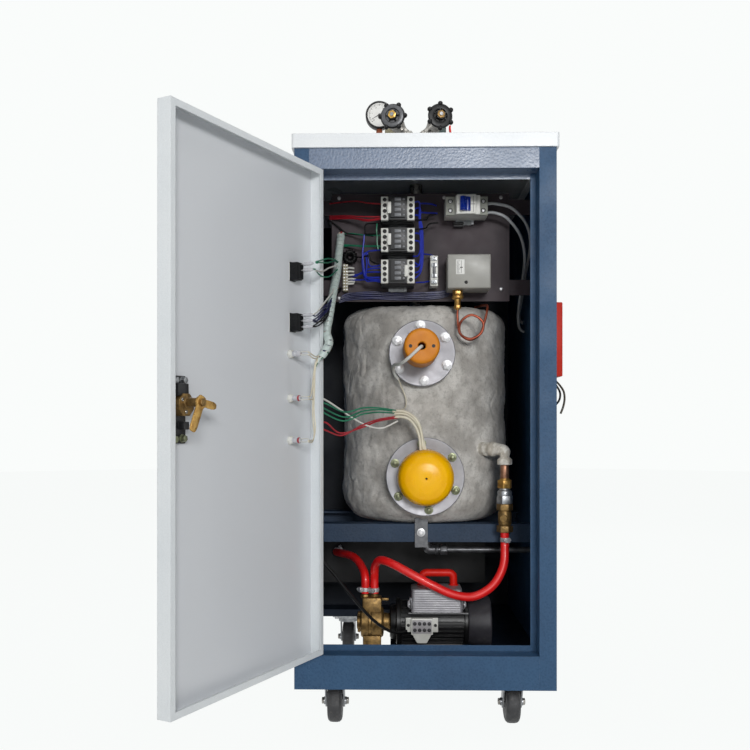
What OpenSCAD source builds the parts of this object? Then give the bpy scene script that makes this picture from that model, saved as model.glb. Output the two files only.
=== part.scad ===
// Small electric steam boiler in a wheeled sheet cabinet, with its door standing open.
// Millimetres. The origin is on the floor below the middle of the cabinet, +Z up, front towards -Y.

/* [Cabinet] */
// Width across the two side walls
body_w = 450; // [440:5:520]
// Depth from the front frame to the back wall
body_d = 620; // [610:5:700]
// Height of the walls, from their lower edge to the lid
body_h = 931; // [925:1:980]
// Thickness of the cabinet's sheet steel
sheet_t = 2; // [1.5:0.25:2.5]
// Face width of the stile at the hinge side
stile_left_w = 25.5; // [22:0.5:30]
// Face width of the stile at the lock side
stile_right_w = 29.5; // [26:0.5:34]
// Face height of the rail over the doorway
rail_top_h = 35.5; // [30:0.5:42]
// Face height of the rail under the doorway
rail_bottom_h = 58.5; // [54:0.5:64]
// Depth of the jamb around the doorway
jamb_d = 37; // [34:0.5:42]
// Width of the lip at the back of the jamb
jamb_lip = 10; // [6:0.5:12]
// Height of the lid's rim
lid_h = 24; // [18:1:32]
// How far the lid stands out past the walls
lid_over = 4.5; // [2:0.5:8]
// Width of the lid's bottom flange
lid_flange = 20; // [12:1:30]
// Corner radius of the lid
lid_r = 4; // [2:0.5:8]

/* [Door] */
// Depth of the door pan
door_t = 23; // [18:0.5:26]
// Thickness of the door's sheet
door_skin = 1.5; // [1:0.25:2]
// Width of the return flange round the inside
door_return = 10; // [8:0.5:14]
// Gap between the door and the doorway
door_gap = 5; // [5:0.5:7]
// Angle at which the door stands open
door_open = 117; // [90:1:120]
// Radius of the hinge pins
hinge_r = 3; // [2.5:0.25:3.5]
// Length of each hinge
hinge_len = 50; // [40:2:70]

/* [Castors] */
// Wheel diameter
wheel_d = 75; // [70:1:78]
// Tyre width
wheel_w = 26; // [22:1:28]
// Height from the floor to the top of the mounting plate
castor_h = 100; // [98:1:110]
// How far the swivel axis is from the side wall
castor_in_x = 65; // [60:1:80]
// How far the swivel axis is from the front and the back
castor_in_y = 70; // [66:1:90]
// How far the wheel trails behind the swivel axis
castor_trail = 22; // [18:1:26]
// How far the walls reach below the mounting plates
skirt_drop = 15; // [10:1:16]

/* [Vessel] */
// Diameter over the lagging
vessel_d = 336; // [320:2:344]
// Height over the lagging, less the crown
vessel_h = 426; // [410:1:430]
// Radius of the lagging's upper edge
vessel_edge = 35; // [20:1:50]
// Radius of the lagging's lower edge
vessel_foot = 50; // [30:1:55]
// Rise of the crown
vessel_crown = 12; // [6:1:14]
// Distance from the front frame to the vessel's axis
vessel_in = 340; // [330:1:350]
// Height of the beams' top over the cabinet's lower edge
beam_h = 262; // [258:1:266]
// Width of the beams' legs
beam_leg = 35; // [30:1:38]
// Thickness of the beams
beam_t = 4; // [3:0.5:5]

/* [Heater flanges] */
// Diameter of the upper flange
flange_a_d = 126; // [110:1:130]
// Diameter of the lower flange
flange_b_d = 149; // [130:1:152]
// Thickness of both flanges
flange_t = 12; // [8:1:14]
// Diameter of the upper terminal cap
cap_a_d = 66; // [56:1:68]
// Length of the upper terminal cap
cap_a_len = 103; // [90:1:104]
// Diameter of the lower terminal cap
cap_b_d = 106; // [96:1:108]
// Length of the lower terminal cap
cap_b_len = 62; // [50:1:70]
// Cable hole in both caps
cap_hole_d = 9; // [6:0.5:12]

/* [Panel] */
// Width of the panel
panel_w = 346; // [340:1:350]
// Gap between the vessel's shoulder and the panel's lower edge
panel_gap = 7; // [6:0.5:10]
// Gap between the panel's upper edge and the lid
panel_drop = 26; // [24:1:32]
// Distance from the front frame to the panel's face
panel_in = 203; // [198:1:206]
// Width of a contactor across its terminals
contactor_w = 63; // [60:1:70]
// Height of a contactor, as a share of the panel's height
contactor_share = 0.224; // [0.2:0.002:0.24]
// Depth of a contactor from the panel
contactor_dp = 78; // [74:1:84]
// Distance between neighbouring contactors, as a share of the panel's height
pitch_share = 0.281; // [0.26:0.001:0.29]
// Length of the circuit breaker
breaker_w = 80; // [76:1:84]
// Height of the circuit breaker, as a share of the panel's height
breaker_share = 0.172; // [0.16:0.002:0.18]
// Width of the pressure controller
control_w = 81; // [74:1:84]
// Height of the pressure controller, as a share of the panel's height
control_share = 0.305; // [0.28:0.005:0.32]
// Depth of the pressure controller
control_dp = 63; // [56:1:70]

/* [Pump] */
// Diameter of the pump motor
motor_d = 96; // [90:1:98]
// Length of the pump motor
motor_len = 138; // [130:1:142]
// Distance from the front frame to the motor's axis
motor_in = 200; // [196:1:206]
// Diameter of the pump head
head_d = 60; // [54:1:66]
// Length of the pump head
head_len = 64; // [58:1:66]
// Width of the capacitor box
cap_box_w = 98; // [90:1:104]

/* [Pipes] */
// Diameter of the feed pipe
feed_d = 16; // [14:1:20]
// Diameter of the red hoses
hose_d = 16; // [14:1:17]
// Diameter of the drain pipe
drain_d = 12; // [10:1:14]
// Diameter of the water inlet
inlet_d = 20; // [16:1:24]
// Diameter of the steam riser
riser_d = 26; // [22:1:30]
// Diameter of each steam outlet
steam_d = 15; // [12:1:18]
// Length of each steam outlet
steam_len = 25; // [18:1:30]
// Turn of the steam outlets towards each other, so that a hose clears the gauge and the safety valve
outlet_turn = 16; // [14:1:18]

/* [Fittings on the lid] */
// Diameter of the pressure gauge
gauge_d = 60; // [50:1:64]
// Overall diameter of a handwheel
handwheel_d = 60; // [52:1:62]
// Lean of the steam valves from upright
valve_lean = 38; // [32:1:42]
// Diameter of the safety valve
safety_d = 30; // [28:1:34]

/* [Terminal cover] */
// How far the terminal cover stands out from the wall
cover_w = 45; // [38:1:50]
// Length of the terminal cover along the wall
cover_d = 230; // [200:5:260]
// Height of the terminal cover
cover_h = 140; // [120:2:150]

/* [Hidden] */
$fn = 48;
// Gap left at a seat
seat = 0.3;
pipe_clear = 1.2;
// Running gap of a pin in its bore
run = 0.05;
// Overshoot of a cut past a face
cut = 1;
// Colours
STEEL_BLUE = [0.24, 0.33, 0.43];
WHITE = [0.92, 0.93, 0.94];
LAGGING = [0.65, 0.64, 0.62];
GALVANISED = [0.68, 0.7, 0.72];
NICKEL = [0.6, 0.57, 0.52];
BRASS = [0.7, 0.54, 0.26];
COPPER = [0.72, 0.42, 0.24];
BLACK = [0.08, 0.08, 0.09];
RED = [0.82, 0.12, 0.12];
GREY = [0.55, 0.56, 0.58];

// Heights and places in the cabinet
front = -body_d / 2;
back = body_d / 2;
skirt_z = castor_h - skirt_drop;
lid_z = skirt_z + body_h;
side_in = body_w / 2 - sheet_t;
open_x0 = -body_w / 2 + stile_left_w;
open_x1 = body_w / 2 - stile_right_w;
open_z0 = skirt_z + rail_bottom_h;
open_z1 = lid_z - rail_top_h;
function into(d) = front + d;
function up(h) = skirt_z + h;

// Base: two cross channels that the castors bolt to, and the pump's floor
channel_t = 3;
channel_w = 118;
channel_lip = 16;
floor_t = 3;
floor_x0 = -60;
floor_z = castor_h + channel_t + floor_t;

// Door
door_w = open_x1 - open_x0 - 2 * door_gap;
door_x = open_x0 + door_gap;
door_z0 = open_z0 + door_gap;
door_z1 = open_z1 - door_gap;
hinge_sleeve_r = hinge_r + 1.5;
hinge_z = [door_z0 + 80, door_z1 - 80];
hinge_ear = 10;
switch_s = 64.5;
switch_w = 17;
switch_h = 30;
switch_dp = 21;
switch_z = [door_z0 + 560.5, door_z0 + 644.5];
lamp_s = 72;
lamp_d = 10;
lamp_dp = 26;
lamp_z = [door_z0 + 366.5, door_z0 + 435.5, door_z0 + 508.5];
lock_s = door_w - door_return - 27;
lock_z = door_z0 + 422.5;
lock_r = 11;
lock_t = 4;
cam_t = 3;
cam_clear = 5;
cam_in = jamb_d + cam_clear;
cam_arm = 43;
cam_tail = 32;
cam_rest = -65;

// Castors
plate_t = 3;
plate_w = 66;
plate_d = 86;
race_r = 22;
race_h = 9;
race_z = castor_h - plate_t - race_h;
crown_h = 7;
crown_z = race_z - seat - crown_h;
king_r = 5;
axle_r = 4;
axle_z = wheel_d / 2;
leg_t = 2.5;
hub_w = wheel_w + 3.4;
leg_in = hub_w / 2 + seat;
swivel_x = body_w / 2 - castor_in_x;
swivel_y = body_d / 2 - castor_in_y;
CORNERS = [[-1, -1], [1, -1], [-1, 1], [1, 1]];

// Vessel, beams and heater flanges
vessel_x = 10;
vessel_y = into(vessel_in);
vessel_z = up(beam_h);
vessel_r = vessel_d / 2;
beam_y = vessel_y - 140;
beam_top_w = 40;
neck_in = 200;
neck_y = into(neck_in);
flange_face = into(153);
flange_a_x = 0;
flange_a_z = vessel_z + 328.5;
flange_b_x = 6;
flange_b_z = vessel_z + 94.5;
cap_a_x = flange_a_x - 3.5;
cap_a_z = flange_a_z + 5;
neck_a_r = flange_a_d / 2 - 22;
neck_b_r = flange_b_d / 2 - 24;
lug_w = 25;
lug_drop = 45;
lug_t = 4;
lug_up = 12;

// Panel
panel_t = 2;
bracket_h = 30;
panel_x = -1.5;
panel_z = vessel_z + vessel_h + panel_gap;
panel_h = lid_z - panel_drop - panel_z;
panel_y = into(panel_in);
rail_dp = 7.5;
rail_w = 35;
rail_web = 27;
rail_t = 1;
stand_off = 3;
contactor_x = -46;
contactor_h = contactor_share * panel_h;
contactor_pitch = pitch_share * panel_h;
contactor_z = panel_z + contactor_h;
strip_w = 14;
well_step = contactor_h / 4.6;
breaker_x = 84;
breaker_h = breaker_share * panel_h;
breaker_z = panel_z + 4.77 * breaker_h;
breaker_nose = 46;
nose_off = 1.5;
breaker_dp = 70;
breaker_step = 60;
toggle_r = 7;
toggle_w = 0.72 * breaker_h;
control_x = 88;
control_h = control_share * panel_h;
control_z = panel_z + 0.75 * control_h;
fitting_x = control_x - 20;
fitting_r = 8;
fitting_len = 38;
fitting_y = into(165);
fitting_z = control_z - control_h / 2 - fitting_len;
fuse_x = 23.5;
fuse_w = 15;
fuse_h = 0.276 * panel_h;
fuse_z = panel_z + 0.258 * panel_h;
terminal_x = -147;
terminal_w = 10;
terminal_h = 0.252 * panel_h;
terminal_z = panel_z + 0.212 * panel_h;
core_x = -138.5;
core_r = 0.048 * panel_h;
core_z = panel_z + 0.41 * panel_h;

// Pump
motor_r = motor_d / 2;
motor_y = into(motor_in);
motor_x = -49;
fan_over = 2;
motor_z = floor_z + 1 + motor_r + fan_over;
motor_foot = 7;
bell_len = 12;
fan_len = 44;
head_r = head_d / 2;
head_x = motor_x - bell_len - head_len;
head_cover = 8;
head_neck = 12;
port_z = motor_z + 48;
port_in_x = motor_x - 60;
port_out_x = motor_x - 42;
port_r = hose_d / 2 - 1.5;
cap_box_x = -21;
cap_box_y = motor_y - motor_r - 4;
cap_box_z = motor_z + 29;
cap_box_h = 44;
cap_box_d = 67;
handle_r = 7.5;
handle_h = 25;
block_w = 61;
block_h = 31;
block_z = motor_z + 19;
block_dp = 12;
block_x = -31;

// Pipes
feed_x = 158;
feed_y = into(170);
feed_turn = atan2(feed_x - vessel_x, vessel_y - feed_y);
feed_z = vessel_z + 144;
feed_in = 30;
union_z = vessel_z + 42;
union_h = 25;
check_h = 54;
drain_x = 14;
drain_y = into(258);
drain_z = vessel_z - 58;
drain_out = 14;
pocket = 8;
inlet_x = 60;
inlet_z = vessel_z - 80;
inlet_out = 30;
tank_x0 = -side_in + 18;
tank_x1 = side_in - 78;
tank_y0 = into(400);
tank_z0 = vessel_z - 150;
tank_h = 100;

// Fittings on the lid
lid_top = lid_z + lid_h;
fork_x = -7;
fork_y = into(320);
fork_z = lid_top + 82;
stem_along = 70;
valve_r = 11;
stem_turn = 8;
stem_len = 50;
header_y = into(385);
header_z = lid_top + 45;
header_r = 11;
gauge_x = -84;
gauge_z = lid_top + 166;
gauge_t = 22;
gauge_boss = 12;
safety_x = 45;
safety_base = 35;
safety_z = lid_top + 160;
lever_t = 4;
lever_x = safety_x + safety_d / 2 + 14;
lever_z = header_z + safety_base + 12;
lever_len = 52;
lever_lean = 8;

// Terminal cover on the right wall, and the cut leads below it
cover_y = into(150);
cover_z = up(546);
lead_d = 5.8;
loom_d = 16;
capillary_d = 5;
tail_d = 4;

// Routes of cables and hoses, each point as distance right, distance in from the front, height.
// Ends follow the piece that they enter, and runs along a wall keep their distance from it.
port_top = port_z + 7;
shoulder_z = vessel_z + vessel_h;
wall_x = side_in;
skin_x = body_w / 2;
FEED = [[feed_x, 170, union_z - check_h], [feed_x, 170, 312], [154, 160, 272], [133, 148, 238], [97, 138, 219],
  [59, 132, 223], [20, 130, 240], [-19, 134, 260], [-54, 145, 277], [-78, 165, 282], [-89, 187, 268],
  [-91, 200, 244], [-91, 200, port_top]];
SUCTION = [[-176, 400, 265], [-176, 380, 265], [-156, 325, 270], [-132, 270, 270], [-115, 222, 257],
  [-109, 200, 242], [-109, 200, port_top]];
CAPILLARY = [[68, 165, fitting_z], [68, 165, fitting_z - 16], [72, 157, 713], [91, 151, 702], [111, 149, 713],
  [114, 149, 734], [93, 150, 747], [73, 154, 734], [73, 162, 713], [91, 168, 702], [110, 171, 712], [120, 175, 736],
  [127, 188, shoulder_z - 6], [124, 226, shoulder_z + 2], [113, 262, shoulder_z + 4], [110, 262, shoulder_z + 1],
  [110, 262, shoulder_z - pocket + 1]];
SUPPLY_A = [[124, 165, breaker_z + 8], [140, 165, breaker_z + 8], [172, 172, breaker_z + 1],
  [wall_x - 21, 190, breaker_z - 25], [wall_x - 7, 230, breaker_z - 58], [wall_x - 6, 300, cover_z + 215],
  [wall_x - 8, 348, cover_z + 167], [wall_x - 9, 368, cover_z + 141], [wall_x - 5, 378, cover_z + 130],
  [wall_x + 0.5, 380, cover_z + 127]];
SUPPLY_B = [[124, 165, breaker_z - 9], [138, 165, breaker_z - 9], [162, 170, breaker_z - 18],
  [wall_x - 33, 190, breaker_z - 46], [wall_x - 18, 230, breaker_z - 80], [wall_x - 15, 290, cover_z + 195],
  [wall_x - 15, 334, cover_z + 149], [wall_x - 13, 349, cover_z + 121], [wall_x - 7, 356, cover_z + 109],
  [wall_x + 0.5, 358, cover_z + 106]];
TAIL_LOOP = [[skin_x + 15, 200, 631], [skin_x + 15, 200, 615], [skin_x + 23, 202, 597], [skin_x + 13, 208, 584],
  [skin_x, 208, 584]];
TAIL_BARE = [[skin_x + 27, 214, 631], [skin_x + 27, 214, 612], [skin_x + 35, 210, 590], [skin_x + 41, 204, 574],
  [skin_x + 43, 200, 561]];
LOOM = [[door_x + 39.5, panel_in, 906], [door_x + 39.5, 186, 906], [door_x + 37.5, 146, 862],
  [door_x + 36.5, 108, 821], [door_x + 31.5, 60, 771], [door_x + 27.5, 22, 726], [door_x + 25, 2, 700],
  [door_x + 30, -14, 680], [door_x + 24, -26, 664], [door_x + 14.1, -30, 651], [door_x + 8.3, -28, 638]];
PUMP_LEAD = [[-160, panel_in, 800], [-160, 188, 800], [27 - wall_x, 130, 740], [21 - wall_x, 70, 640],
  [20 - wall_x, 60, 480], [27 - wall_x, 60, 330], [-159, 72, 262], [-128, 92, 214], [-96, 112, 175], [-62, 130, 152],
  [-44, 142, 150], [-44, 152, 150]];
HEATER_LEAD = [[30 - wall_x, 60, 590], [-170, 66, 578], [-120, 82, 566], [-60, 98, 567], [-24, 104, 550],
  [0, 112, 522], [flange_b_x, 118, 506], [flange_b_x, 118, flange_b_z + cap_b_d / 2]];

// A box between two corners
module block(x0, x1, y0, y1, z0, z1) {
  translate([x0, y0, z0])
    cube([x1 - x0, y1 - y0, z1 - z0]);
}

// A cylinder along X, its left end at the origin
module rod_x(r, len) {
  rotate([0, 90, 0])
    cylinder(r = r, h = len);
}

// A cylinder towards the front, its back end at the origin
module rod_front(r, len) {
  rotate([90, 0, 0])
    cylinder(r = r, h = len);
}

// A rectangle with round corners, centred
module round_rect(w, d, r) {
  square([w - 2 * r, d], center = true);
  square([w, d - 2 * r], center = true);
  for (x = [-1, 1], y = [-1, 1])
    translate([x * (w / 2 - r), y * (d / 2 - r)])
      circle(r);
}

// Places its children, drawn on the closed door, on the open door.
// On the closed door X runs from the hinge, Y from the outer skin inwards.
module on_door() {
  translate([door_x, front, 0])
    rotate([0, 0, -door_open])
      children();
}

// A round cord along a route of points
function unit(v) = v / norm(v);
function carried(ts, n, i = 0) = i == len(ts)
  ? []
  : let (m = unit(n - (n * ts[i]) * ts[i])) concat([m], carried(ts, m, i + 1));
function placed(route) = [for (p = route) [p.x, into(p.y), p.z]];
module cord(points, d, sides = 8) {
  last = len(points) - 1;
  ts = [for (i = [0:last]) unit(points[min(i + 1, last)] - points[max(i - 1, 0)])];
  side = carried(ts, abs(ts[0].z) < 0.9 ? [0, 0, 1] : [1, 0, 0]);
  rings = [for (i = [0:last]) for (j = [0:sides - 1])
    let (a = 360 * j / sides) points[i] + d / 2 * (cos(a) * side[i] + sin(a) * cross(ts[i], side[i]))];
  caps = [[for (j = [0:sides - 1]) j], [for (j = [sides - 1:-1:0]) last * sides + j]];
  walls = [for (i = [0:last - 1]) for (j = [0:sides - 1])
    let (a = i * sides + j, b = i * sides + (j + 1) % sides) [a, a + sides, b + sides, b]];
  polyhedron(points = rings, faces = concat(caps, walls), convexity = 6);
}

// Side and back walls
module left_wall() {
  color(STEEL_BLUE)
    block(-body_w / 2, -side_in, front + sheet_t, back - sheet_t, skirt_z, lid_z);
}

module right_wall() {
  color(STEEL_BLUE)
    difference() {
      block(side_in, body_w / 2, front + sheet_t, back - sheet_t, skirt_z, lid_z);
      translate([side_in - cut, drain_y, drain_z])
        rod_x(drain_d / 2 + pipe_clear, sheet_t + 2 * cut);
      for (route = [SUPPLY_A, SUPPLY_B])
        translate([side_in - cut, into(route[len(route) - 1].y), route[len(route) - 1].z])
          rod_x(lead_d / 2 + 3, sheet_t + 2 * cut);
    }
}

module back_wall() {
  color(STEEL_BLUE)
    difference() {
      block(-body_w / 2, body_w / 2, back - sheet_t, back, skirt_z, lid_z);
      translate([inlet_x, back + cut, inlet_z])
        rod_front(inlet_d / 2 + pipe_clear, sheet_t + 2 * cut);
    }
}

// Stiles of the front frame: face, jamb and lip of one folded sheet
module left_stile() {
  color(STEEL_BLUE) {
    block(-body_w / 2, open_x0, front, front + sheet_t, skirt_z, lid_z);
    block(open_x0 - sheet_t, open_x0, front, into(jamb_d), open_z0, open_z1);
    block(open_x0 - sheet_t, open_x0 + jamb_lip, into(jamb_d) - sheet_t, into(jamb_d), open_z0, open_z1);
    for (z = hinge_z)
      hinge_half(z);
  }
}

// The cabinet's half of a hinge: a plate with two ears and the pin
module hinge_half(z) {
  translate([0, 0, z - hinge_len / 2]) {
    block(open_x0 - 16, open_x0, front - 2, front, 0, hinge_len);
    for (h = [0, hinge_len - hinge_ear]) {
      block(open_x0 - 1, door_x, front - 2, front, h, h + hinge_ear);
      translate([door_x, front, h])
        cylinder(r = hinge_sleeve_r, h = hinge_ear);
    }
    translate([door_x, front, 0])
      cylinder(r = hinge_r, h = hinge_len);
  }
}

module right_stile() {
  color(STEEL_BLUE) {
    block(open_x1, body_w / 2, front, front + sheet_t, skirt_z, lid_z);
    block(open_x1, open_x1 + sheet_t, front, into(jamb_d), open_z0, open_z1);
    block(open_x1 - jamb_lip, open_x1 + sheet_t, into(jamb_d) - sheet_t, into(jamb_d), open_z0, open_z1);
  }
}

// Rails of the front frame
module top_rail() {
  color(STEEL_BLUE) {
    block(open_x0, open_x1, front, front + sheet_t, open_z1, lid_z);
    block(open_x0, open_x1, front, into(jamb_d), open_z1, open_z1 + sheet_t);
    block(open_x0 + jamb_lip, open_x1 - jamb_lip, into(jamb_d) - sheet_t, into(jamb_d),
      open_z1 - jamb_lip, open_z1 + sheet_t);
  }
}

module bottom_rail() {
  color(STEEL_BLUE) {
    block(open_x0, open_x1, front, front + sheet_t, skirt_z, open_z0);
    block(open_x0, open_x1, front, into(jamb_d), open_z0 - sheet_t, open_z0);
    block(open_x0 + jamb_lip, open_x1 - jamb_lip, into(jamb_d) - sheet_t, into(jamb_d),
      open_z0 - sheet_t, open_z0 + jamb_lip);
  }
}

// Lid: a folded pan that rests on the walls by its bottom flange
module lid() {
  w = body_w + 2 * lid_over;
  d = body_d + 2 * lid_over;
  color(WHITE)
    difference() {
      translate([0, 0, lid_z])
        linear_extrude(lid_h)
          round_rect(w, d, lid_r);
      translate([0, 0, lid_z + sheet_t])
        linear_extrude(lid_h - 2 * sheet_t)
          round_rect(w - 2 * sheet_t, d - 2 * sheet_t, lid_r - sheet_t / 2);
      translate([0, 0, lid_z - cut])
        linear_extrude(sheet_t + 2 * cut)
          round_rect(w - 2 * lid_flange, d - 2 * lid_flange, lid_r);
      translate([fork_x, fork_y, lid_z])
        cylinder(r = riser_d / 2 + seat, h = lid_h + cut);
    }
}

// Base
module base_channels() {
  color(STEEL_BLUE)
    for (s = [-1, 1])
      scale([1, s, 1]) {
        block(-side_in, side_in, front + sheet_t, into(channel_w), castor_h, castor_h + channel_t);
        block(-side_in, floor_x0 - seat, into(channel_w) - channel_t, into(channel_w),
          castor_h, castor_h + channel_lip);
      }
}

module floor_plate() {
  color(STEEL_BLUE)
    block(floor_x0, side_in, front + sheet_t, back - sheet_t, castor_h + channel_t, floor_z);
}

// Beams across the cabinet that carry the vessel
module vessel_beams() {
  color(STEEL_BLUE)
    for (s = [-1, 1])
      translate([0, vessel_y, 0])
        scale([1, s, 1]) {
          block(-side_in, side_in, beam_y - vessel_y, beam_y - vessel_y + beam_t, vessel_z - beam_leg, vessel_z);
          block(-side_in, side_in, beam_y - vessel_y, beam_y - vessel_y + beam_top_w, vessel_z - beam_t, vessel_z);
        }
}

// Vessel in its lagging
module vessel_profile() {
  square([vessel_r - vessel_foot, vessel_h]);
  translate([0, vessel_foot])
    square([vessel_r, vessel_h - vessel_foot - vessel_edge]);
  translate([0, vessel_h - vessel_edge - 1])
    square([vessel_r - vessel_edge, vessel_edge + 1]);
  translate([vessel_r - vessel_foot, vessel_foot])
    circle(vessel_foot);
  translate([vessel_r - vessel_edge, vessel_h - vessel_edge])
    circle(vessel_edge);
}

module vessel() {
  color(LAGGING)
    difference() {
      translate([vessel_x, vessel_y, vessel_z]) {
        rotate_extrude($fn = 96)
          vessel_profile();
        cylinder(r = vessel_r - vessel_edge - 20, h = vessel_h + vessel_crown);
      }
      translate([flange_a_x, neck_y, flange_a_z])
        rod_front(neck_a_r + seat, neck_in);
      translate([flange_b_x, neck_y, flange_b_z])
        rod_front(neck_b_r + seat, neck_in);
      translate([vessel_x, vessel_y, feed_z])
        rotate([0, 0, feed_turn])
          translate([0, -vessel_r + feed_in, 0])
            rod_front(feed_d / 2 + seat, vessel_r);
      translate([fork_x, fork_y, vessel_z + vessel_h - pocket])
        cylinder(r = riser_d / 2 + seat, h = vessel_crown + pocket + cut);
      translate([drain_x, drain_y, vessel_z - cut])
        cylinder(r = drain_d / 2 + seat, h = pocket + cut);
      lug(seat);
      translate([110, into(262), vessel_z + vessel_h - pocket])
        cylinder(r = capillary_d / 2 + 1, h = vessel_crown + pocket + cut);
    }
}

// Lugs that bolt the vessel to its beams
module lug(gap) {
  translate([0, vessel_y, 0])
    for (s = [-1, 1])
      scale([1, s, 1])
        translate([0, beam_y - vessel_y, 0])
          block(-lug_w / 2 - gap, lug_w / 2 + gap, -lug_t - gap, gap, vessel_z - lug_drop,
            vessel_z + lug_up + gap);
}

module vessel_lugs() {
  color(GALVANISED)
    lug(0);
}

// Heater flanges and their terminal caps
module flange(x, z, d, neck_r) {
  translate([x, flange_face + flange_t, z])
    rod_front(d / 2, flange_t);
  translate([x, neck_y, z])
    rod_front(neck_r, neck_y - flange_face - flange_t);
}

module cap(x, z, d, len, edge) {
  translate([x, flange_face, z])
    rotate([90, 0, 0])
      rotate_extrude()
        difference() {
          union() {
            square([d / 2, len - edge]);
            square([d / 2 - edge, len]);
            translate([d / 2 - edge, len - edge])
              circle(edge);
          }
          translate([-d, 0])
            square([d, len]);
          translate([0, len - 12])
            square([cap_hole_d / 2, 13]);
        }
}

module heater_flanges() {
  color(GREY) {
    flange(flange_a_x, flange_a_z, flange_a_d, neck_a_r);
    flange(flange_b_x, flange_b_z, flange_b_d, neck_b_r);
  }
}

module upper_cap() {
  color([0.78, 0.48, 0.16])
    cap(cap_a_x, cap_a_z, cap_a_d, cap_a_len, 6);
}

module lower_cap() {
  color([0.95, 0.7, 0.1])
    cap(flange_b_x, flange_b_z, cap_b_d, cap_b_len, 30);
}

// Panel plate, with the brackets behind it that reach the side walls
module panel_plate() {
  edge = panel_w / 2 - 12;
  color([0.32, 0.3, 0.31]) {
    translate([panel_x, panel_y, panel_z])
      block(-panel_w / 2, panel_w / 2, 0, panel_t, 0, panel_h);
    for (s = [-1, 1], z = [panel_z + 12, panel_z + panel_h - 12 - bracket_h])
      scale([s, 1, 1]) {
        block(edge, side_in, panel_y + panel_t, panel_y + panel_t + 3, z, z + bracket_h);
        block(side_in - 3, side_in, panel_y + panel_t, panel_y + panel_t + 40, z, z + bracket_h);
      }
  }
}

module hat_rail(x, z0, z1) {
  translate([x, panel_y, z0])
    linear_extrude(z1 - z0) {
      translate([-rail_web / 2, -rail_t])
        square([rail_web, rail_t]);
      for (s = [-1, 1])
        scale([s, 1]) {
          translate([rail_web / 2 - rail_t, -rail_dp])
            square([rail_t, rail_dp]);
          translate([rail_web / 2 - rail_t, -rail_dp])
            square([(rail_w - rail_web) / 2 + rail_t, rail_t]);
        }
    }
}

module mounting_rails() {
  color(GALVANISED) {
    hat_rail(contactor_x, contactor_z - contactor_h / 2 - 5,
      contactor_z + 2 * contactor_pitch + contactor_h / 2 + 5);
    hat_rail(breaker_x, breaker_z - breaker_h / 2 - 6, breaker_z + breaker_h / 2 + 6);
  }
}

// The slot at the back of a device for the rail it clips on
module rail_slot(h) {
  block(-rail_w / 2 - seat, rail_w / 2 + seat, -rail_dp - seat, 0, -h / 2 - cut, h / 2 + cut);
}

// Contactors
module contactor() {
  hw = contactor_w / 2;
  hh = contactor_h / 2;
  step = contactor_dp - 16;
  difference() {
    union() {
      block(-hw, hw, -step + 8, -stand_off, -hh, hh);
      block(-hw + strip_w, hw - strip_w, -step, -step + 8, -hh, hh);
      block(-hw + strip_w + 1, hw - strip_w - 1, -contactor_dp + 4, -step, -hh + 1.5, hh - 1.5);
      block(-6, 6, -contactor_dp, -contactor_dp + 4, -hh * 0.8, hh * 0.8);
    }
    rail_slot(contactor_h);
  }
}

module contactor_at(i) {
  translate([contactor_x, panel_y, contactor_z + i * contactor_pitch])
    children();
}

module contactors() {
  color(BLACK)
    for (i = [0:2])
      contactor_at(i)
        contactor();
}

// White terminal strips with four screw wells, two on each contactor
module contactor_strips() {
  hw = contactor_w / 2;
  face = -contactor_dp + 24;
  color(WHITE)
    for (i = [0:2], s = [-1, 1])
      contactor_at(i)
        scale([s, 1, 1])
          difference() {
            block(hw - strip_w, hw, face - 10, face, -contactor_h / 2 + 1.5, contactor_h / 2 - 1.5);
            for (k = [-1.5:1:1.5])
              translate([hw - strip_w / 2, face - 4, k * well_step])
                rod_front(min(3.6, well_step / 3), 10);
          }
}

// Two-pole circuit breaker lying on its side, and its toggle
module breaker() {
  hw = breaker_w / 2;
  hh = breaker_h / 2;
  color([0.86, 0.87, 0.88])
    translate([breaker_x, panel_y, breaker_z])
      difference() {
        union() {
          block(-hw, hw, -breaker_step + 12, -stand_off, -hh, hh);
          block(-hw + 8, hw - 8, -breaker_step, -breaker_step + 12, -hh, hh);
          block(nose_off - breaker_nose / 2, nose_off + breaker_nose / 2, -breaker_dp, -breaker_step, -hh, hh);
        }
        rail_slot(breaker_h);
        translate([0, -breaker_dp + 4, -toggle_w / 2 - seat])
          cylinder(r = toggle_r + seat, h = toggle_w + 2 * seat);
        block(-15, 15, -breaker_dp - cut, -breaker_dp + 4, -toggle_w / 2 - seat, toggle_w / 2 + seat);
        for (s = [-1, 1], z = [-hh / 2, hh / 2])
          translate([s * (hw - 5), -breaker_step + 24, z])
            rod_front(hh / 6, 14);
      }
}

module breaker_toggle() {
  color([0.1, 0.4, 0.75])
    translate([breaker_x, panel_y - breaker_dp + 4, breaker_z - toggle_w / 2]) {
      cylinder(r = toggle_r, h = toggle_w);
      rotate([0, 0, -40])
        block(-4, 4, -17, 0, 0, toggle_w);
    }
}

// Pressure controller and its brass fitting
module pressure_controller() {
  hw = control_w / 2;
  hh = control_h / 2;
  color([0.8, 0.77, 0.68])
    translate([control_x, panel_y, control_z])
      difference() {
        block(-hw, hw, -control_dp, 0, -hh, hh);
        translate([-6, -control_dp + 2, -0.34 * control_h])
          rod_front(3, 10);
      }
  color(BRASS) {
    translate([fitting_x, fitting_y, fitting_z])
      cylinder(r = fitting_r - 2, h = fitting_len);
    translate([fitting_x, fitting_y, control_z - hh - 14])
      cylinder(r = fitting_r + 1, h = 14, $fn = 6);
    translate([fitting_x, fitting_y, fitting_z])
      cylinder(r = fitting_r, h = 12, $fn = 6);
  }
}

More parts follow.
